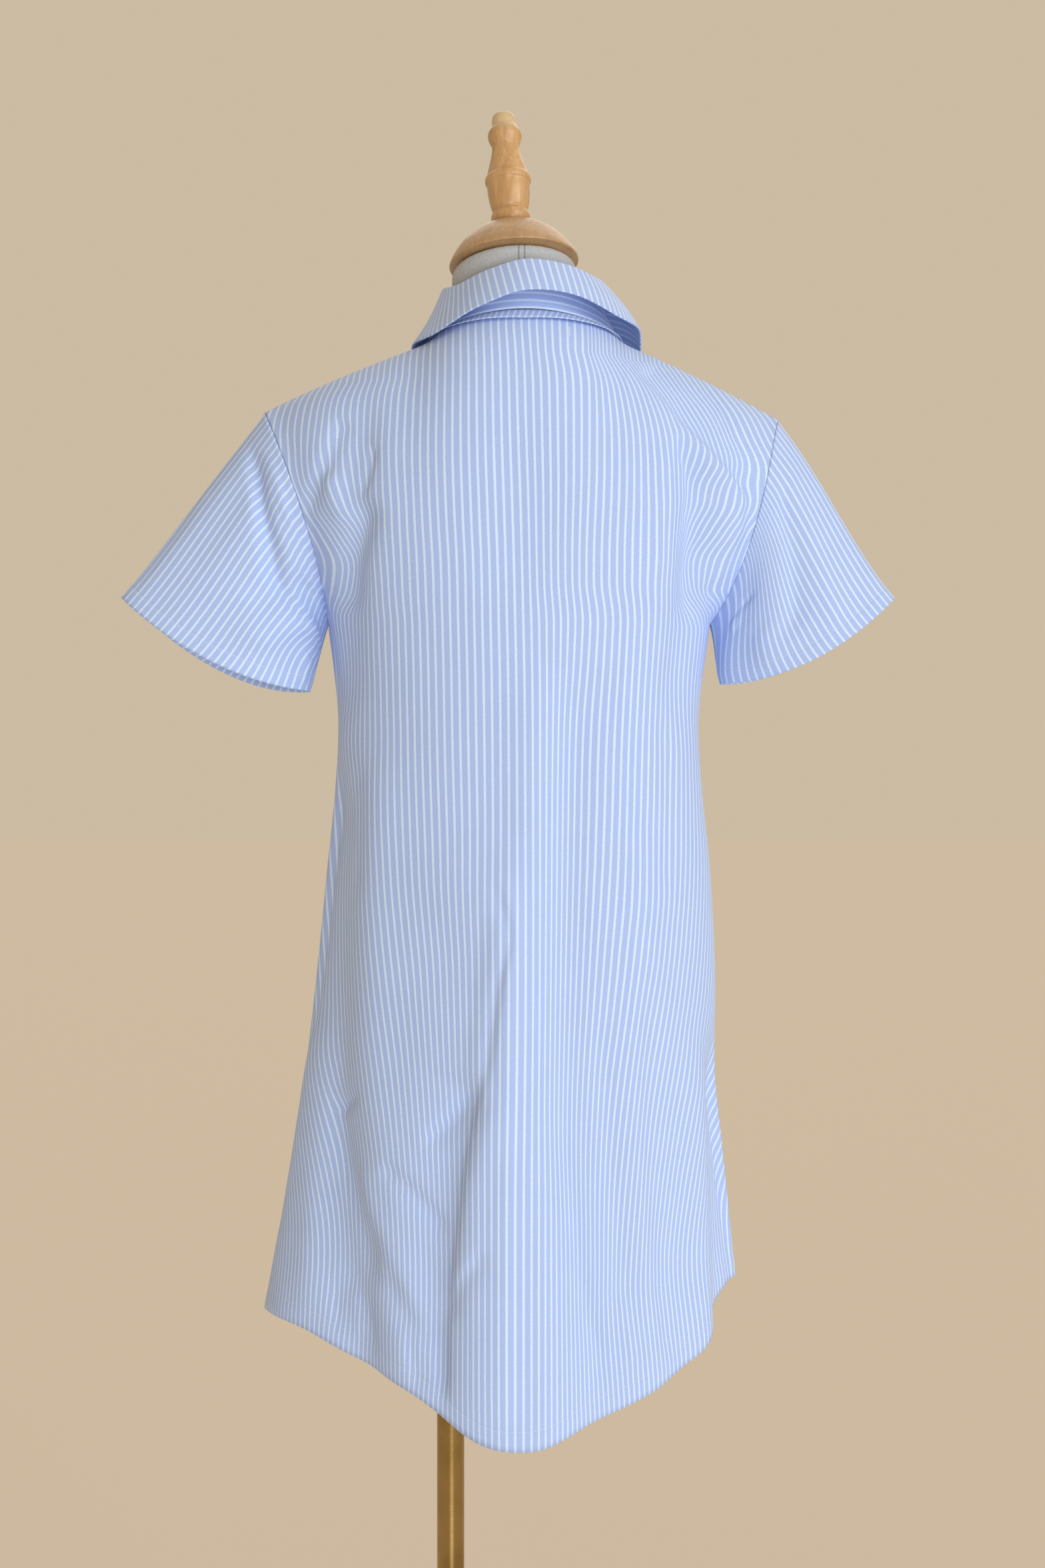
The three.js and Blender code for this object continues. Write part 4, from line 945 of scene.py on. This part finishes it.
# %% The turned cap and knob, the pole, its socket and the base
FINIAL = table(
    "z r", (0, 13.5), (2.5, 15), (6, 15.8), (9.5, 15), (12, 13.6), (14, 14.6), (19, 15.9), (27, 17),
    (34.5, 17.2), (36.5, 18.4), (40, 18.4), (42.5, 16.8), (47, 15.6), (54, 13.6), (61, 11.8), (67, 11),
    (70, 11.9), (75, 13.6), (79.5, 13.3), (83.5, 11), (86, 9.9), (91, 9.5), (94.5, 8.2), (96.5, 5.5),
)
CAP = table("z r", (0, 51.2), (0.8, 51.8), (2, 51.6), (5, 50.2), (9, 47.8), (15, 43.6), (22, 37), (28, 28.5),
            (32, 19), (33.5, 14))
NECK_TOP = Vector((BODY_X - 3, -8, 1445)) * MM
NECK_TILT = Euler((math.radians(-10), math.radians(-4), 0)).to_matrix().to_4x4()


def turned(name, rows, segments=64, matrix=None, bevel=0.0, closed=True):
    """A lathe form round +Z from a table of heights and radii."""
    bm = bmesh.new()
    outline = [(r, z) for z, r in zip(rows["z"], rows["r"])]
    if closed:
        outline = [(0, outline[0][1]), *outline, (0, outline[-1][1])]
    points = [bm.verts.new((r * MM, 0, z * MM)) for r, z in outline]
    edges = [bm.edges.new(pair) for pair in zip(points[:-1], points[1:])]
    bmesh.ops.spin(bm, geom=points + edges, cent=(0, 0, 0), axis=(0, 0, 1), angle=2 * math.pi,
                   steps=segments, use_merge=True)
    bmesh.ops.remove_doubles(bm, verts=bm.verts, dist=1e-6)
    bmesh.ops.recalc_face_normals(bm, faces=bm.faces)
    if bevel:
        sharp = [e for e in bm.edges if e.is_manifold and e.calc_face_angle() > 0.7]
        bmesh.ops.bevel(bm, geom=sharp, offset=bevel * MM, affect="EDGES", segments=2, profile=0.5,
                        material=-1)
    if matrix:
        bmesh.ops.transform(bm, matrix=matrix, verts=bm.verts)
    mesh = mesh_from(bm, name)
    mesh.shade_smooth()
    print(name, len(mesh.polygons), "faces")
    return placed(name, mesh)


def finer(rows, count):
    """The same outline with more rows on a smooth curve."""
    i = np.arange(len(rows["z"]), dtype=float)
    at = np.linspace(0, len(i) - 1, count)
    both = {"i": i, **rows}
    return {"z": read(both, "i", at, "z"), "r": read(both, "i", at, "r")}


seat = Matrix.Translation(NECK_TOP) @ NECK_TILT
cap = own(turned("Turned_cap", finer(CAP, 40), matrix=seat, segments=96), "neck_cap")
knob_seat = seat @ Matrix.Translation((0, 0, (33.5 + SEAM) * MM))
knob = own(turned("Turned_knob", finer(FINIAL, 116), matrix=knob_seat), "neck_cap_finial")
SOCKET_TOP, POLE_RADIUS = 795 - SEAM, 11
pole_rows = table("z r", (24 + SEAM, POLE_RADIUS), (SOCKET_TOP, POLE_RADIUS))
pole = own(turned("Brass_pole", pole_rows, bevel=0.3), "stand_pole")
low = SOCKET_TOP - 30
bore = POLE_RADIUS + SEAM
socket_rows = table("z r", (SOCKET_TOP, bore), (low, bore), (low, 16), (low + 4, 20), (SOCKET_TOP, 20),
                    (SOCKET_TOP, bore))
socket = own(turned("Brass_socket", socket_rows, bevel=0.4, closed=False), "stand_socket")
base_rows = table("z r", (0, 153), (2, 155), (5, 155), (7, 153), (13, 38), (15, 26), (22, 17), (24, 15))
base = own(turned("Brass_foot", base_rows, segments=128, bevel=0.8), "stand_base")

# %% The buttons, each with four holes, which are dark discs of painted shade, and its thread
BUTTON = table("z r", (-1.3, 4), (-0.9, 5.3), (-0.3, 5.75), (0.6, 5.7), (1.15, 5.1), (1.2, 4.7), (0.85, 4.2),
               (0.5, 3.6))
HOLE, THREAD_HALF = 1.15 * MM, 0.34 * MM


def button(index):
    low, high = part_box(f"button_{index}")
    middle = (low + high) / 2
    heights = np.abs(band[:, 7, 2] * MM - middle.z)
    row = int(np.argmin(heights))
    down_way, side_way = band[row + 1, 7] - band[row - 1, 7], band[row, 9] - band[row, 5]
    n = np.cross(down_way, side_way)
    n = Vector(n * np.sign(n[1])).normalized()
    turn = n.to_track_quat("Z", "X").to_matrix().to_4x4()
    disc = turned(f"Disc_{index}", BUTTON, segments=48, matrix=Matrix.Translation(middle) @ turn)
    own(disc, f"button_{index}")
    disc.data.materials.append(PEARL)
    bm = bmesh.new()
    # The holes are not cut: each is a flat dark disc just proud of the face, painted shade where a hole would
    # be
    for x in (-1, 1):
        for y in (-1, 1):
            hole = Matrix.Translation((x * HOLE, y * HOLE, 0.46 * MM))
            bmesh.ops.create_cone(bm, cap_ends=True, segments=16, radius1=0.62 * MM, radius2=0.62 * MM,
                                  depth=0.12 * MM, matrix=hole)
    holes = len(bm.faces)
    for x in (-1, 1):
        bar = Matrix.Translation((x * HOLE, 0, 0.62 * MM)) @ Matrix.Rotation(math.pi / 2, 4, "X")
        bmesh.ops.create_cone(bm, cap_ends=True, segments=10, radius1=THREAD_HALF, radius2=THREAD_HALF,
                              depth=2.5 * MM, matrix=bar)
    for k, face in enumerate(bm.faces):
        face.material_index = 0 if k < holes else 1
    bmesh.ops.transform(bm, matrix=Matrix.Translation(middle) @ turn, verts=bm.verts)
    mesh = mesh_from(bm, f"Thread_{index}")
    mesh.materials.append(HOLE_SHADE)
    mesh.materials.append(THREAD)
    own(placed(mesh.name, mesh))


PEARL, tree, surface = material_of("Pearly button", Roughness=0.24, Coat_Weight=0.5, Coat_Roughness=0.12)
cloudy = step(noise(own_place(tree), 260, 4), 0.35, 0.65)
fill(surface["Base Color"], blend(cloudy, (0.68, 0.75, 0.84, 1), (0.86, 0.89, 0.92, 1)))
# Painted shade: the flat dark colour of the discs that stand for the button holes
HOLE_SHADE = material_of("Painted hole shade", Base_Color=(0.09, 0.11, 0.16, 1), Roughness=0.9)[0]
THREAD, tree, surface = material_of("Thread", Roughness=0.8)
fill(surface["Base Color"], blend(noise(own_place(tree), 3000), (0.55, 0.64, 0.85, 1), (0.72, 0.79, 0.93, 1)))
for index in range(1, 8):
    button(index)

# %% [markdown]
# Wood, brass and linen each get their look from a few layers: a base colour, a fine grain that moves the
# roughness of the wood and the brass, and a small bump on the wood and the linen. They read the object's own
# coordinates, so the grain stays with the piece.

# %% Wood, brass and linen
# Heights on the turned wood: above the first the knob gets a painted highlight, below the second the cap gets
# painted shade
KNOB_HIGHLIGHT_Z, CAP_SHADE_TOP_Z = 1.555, 1.483
SEAM_X = (0.0547, 0.0593)

WOOD, tree, surface = material_of("Varnished wood", Coat_Weight=0.3, Coat_Roughness=0.2)
place = own_place(tree, (1, 1, 0.12))
fine, wide = noise(place, 420, 5, 0.65), noise(place, 60, 3)
figure = step(plus(times(fine, 0.6), times(wide, 0.6)), 0.42, 0.78)
colour = blend(figure, (0.58, 0.36, 0.165, 1), (0.42, 0.235, 0.095, 1))
level = parts_of(own_place(tree))[2]
# Painted highlight: above this height the knob's tip is blended toward a pale tan, as where light from above
# falls
colour = blend(step(level, KNOB_HIGHLIGHT_Z, KNOB_HIGHLIGHT_Z + 0.01, 0.0, 0.6), colour, (0.62, 0.5, 0.31, 1))
# Painted shade: below this height the cap, and the foot of the knob, are blended toward a dark brown
colour = blend(step(level, CAP_SHADE_TOP_Z - 0.008, CAP_SHADE_TOP_Z, 0.4, 0.0), colour, (0.27, 0.185, 0.12, 1))
fill(surface["Base Color"], colour)
fill(surface["Roughness"], step(fine, 0.3, 0.7, 0.36, 0.5))
bumped(surface, fine, 0.25, 0.0003)
for piece in (cap, knob):
    piece.data.materials.append(WOOD)

BRASS, tree, surface = material_of("Satin brass", Metallic=1.0)
tarnish = step(noise(own_place(tree), 30, 3), 0.35, 0.7)
fill(surface["Base Color"], blend(tarnish, (0.40, 0.27, 0.105, 1), (0.33, 0.22, 0.08, 1)))
brushed = noise(own_place(tree, (0.1, 0.1, 1)), 1500, 4, 0.6)
fill(surface["Roughness"], step(brushed, 0.25, 0.75, 0.1, 0.17))
for piece in (pole, socket, base):
    piece.data.materials.append(BRASS)

LINEN, tree, surface = material_of("Grey linen cover", Roughness=0.92, Sheen_Weight=0.1)
place = own_place(tree)
x, y, z = parts_of(place)
threads = plus(times(plus(wave(x, 1.1 * MM), wave(z, 1.2 * MM)), 0.12), noise(place, 500, 4, 0.6))
seams = work_out("MAXIMUM", *(until(apart(x, at), 0.0003, 0.0009) for at in SEAM_X))
seams = times(seams, until(y, -0.03, 0.0))
colour = blend(step(threads, 0.3, 0.75), (0.37, 0.39, 0.42, 1), (0.46, 0.485, 0.525, 1))
fill(surface["Base Color"], blend(times(seams, 0.7), colour, (0.17, 0.19, 0.22, 1)))
bumped(surface, minus(threads, times(seams, 1.5)), 0.5, 0.0005)
torso.data.materials.append(LINEN)
print("materials", len(bpy.data.materials))

# %% [markdown]
# The set is plain: a pale floor, a pale warm surround and three soft suns, wide enough that no shadow is
# hard. The key comes from the viewer's right and shows the folds. The fill comes from in front and below, as
# light off a pale floor does, so the floor casts no shadow and lets it through.

# %% Floor, light and camera
bm = bmesh.new()
bmesh.ops.create_circle(bm, cap_ends=True, segments=96, radius=40)
floor = placed("Floor", mesh_from(bm, "Floor"))
floor.data.materials.append(
    material_of("Pale floor", Base_Color=(0.70, 0.632, 0.542, 1), Roughness=0.95, Specular_IOR_Level=0.1)[0])
floor.visible_shadow = False


def soft_sun(name, toward, spread, power, colour):
    """An even light from one side, soft by its wide disc."""
    light = bpy.data.lights.new(name, "SUN")
    light.angle, light.energy, light.color = math.radians(spread), power, colour
    placed(name, light).rotation_euler = (-Vector(toward)).to_track_quat("-Z", "Y").to_euler()


soft_sun("Key", (2.2, -2.2, 0.7), 40, 1.35, (0.95, 0.98, 1.0))
soft_sun("Fill", (0.55, -2.6, -0.95), 24, 1.12, (0.94, 0.975, 1.0))
soft_sun("Far side", (0.3, 1.9, 2.2), 60, 0.75, (1.0, 0.985, 0.96))

world = bpy.data.worlds.new("Soft surround")
world.use_nodes = True
world.node_tree.nodes["Background"].inputs["Color"].default_value = (0.86, 0.716, 0.528, 1)
world.node_tree.nodes["Background"].inputs["Strength"].default_value = 0.7
bpy.context.scene.world = world
bpy.context.scene.view_settings.view_transform = "Standard"

camera_data = bpy.data.cameras.new("Camera")
camera_data.lens = 50
camera = placed("Camera", camera_data)
camera.location = (0.05775, -1.75, 1.03)
camera.rotation_euler = (math.pi / 2, 0, 0)
bpy.context.scene.camera = camera
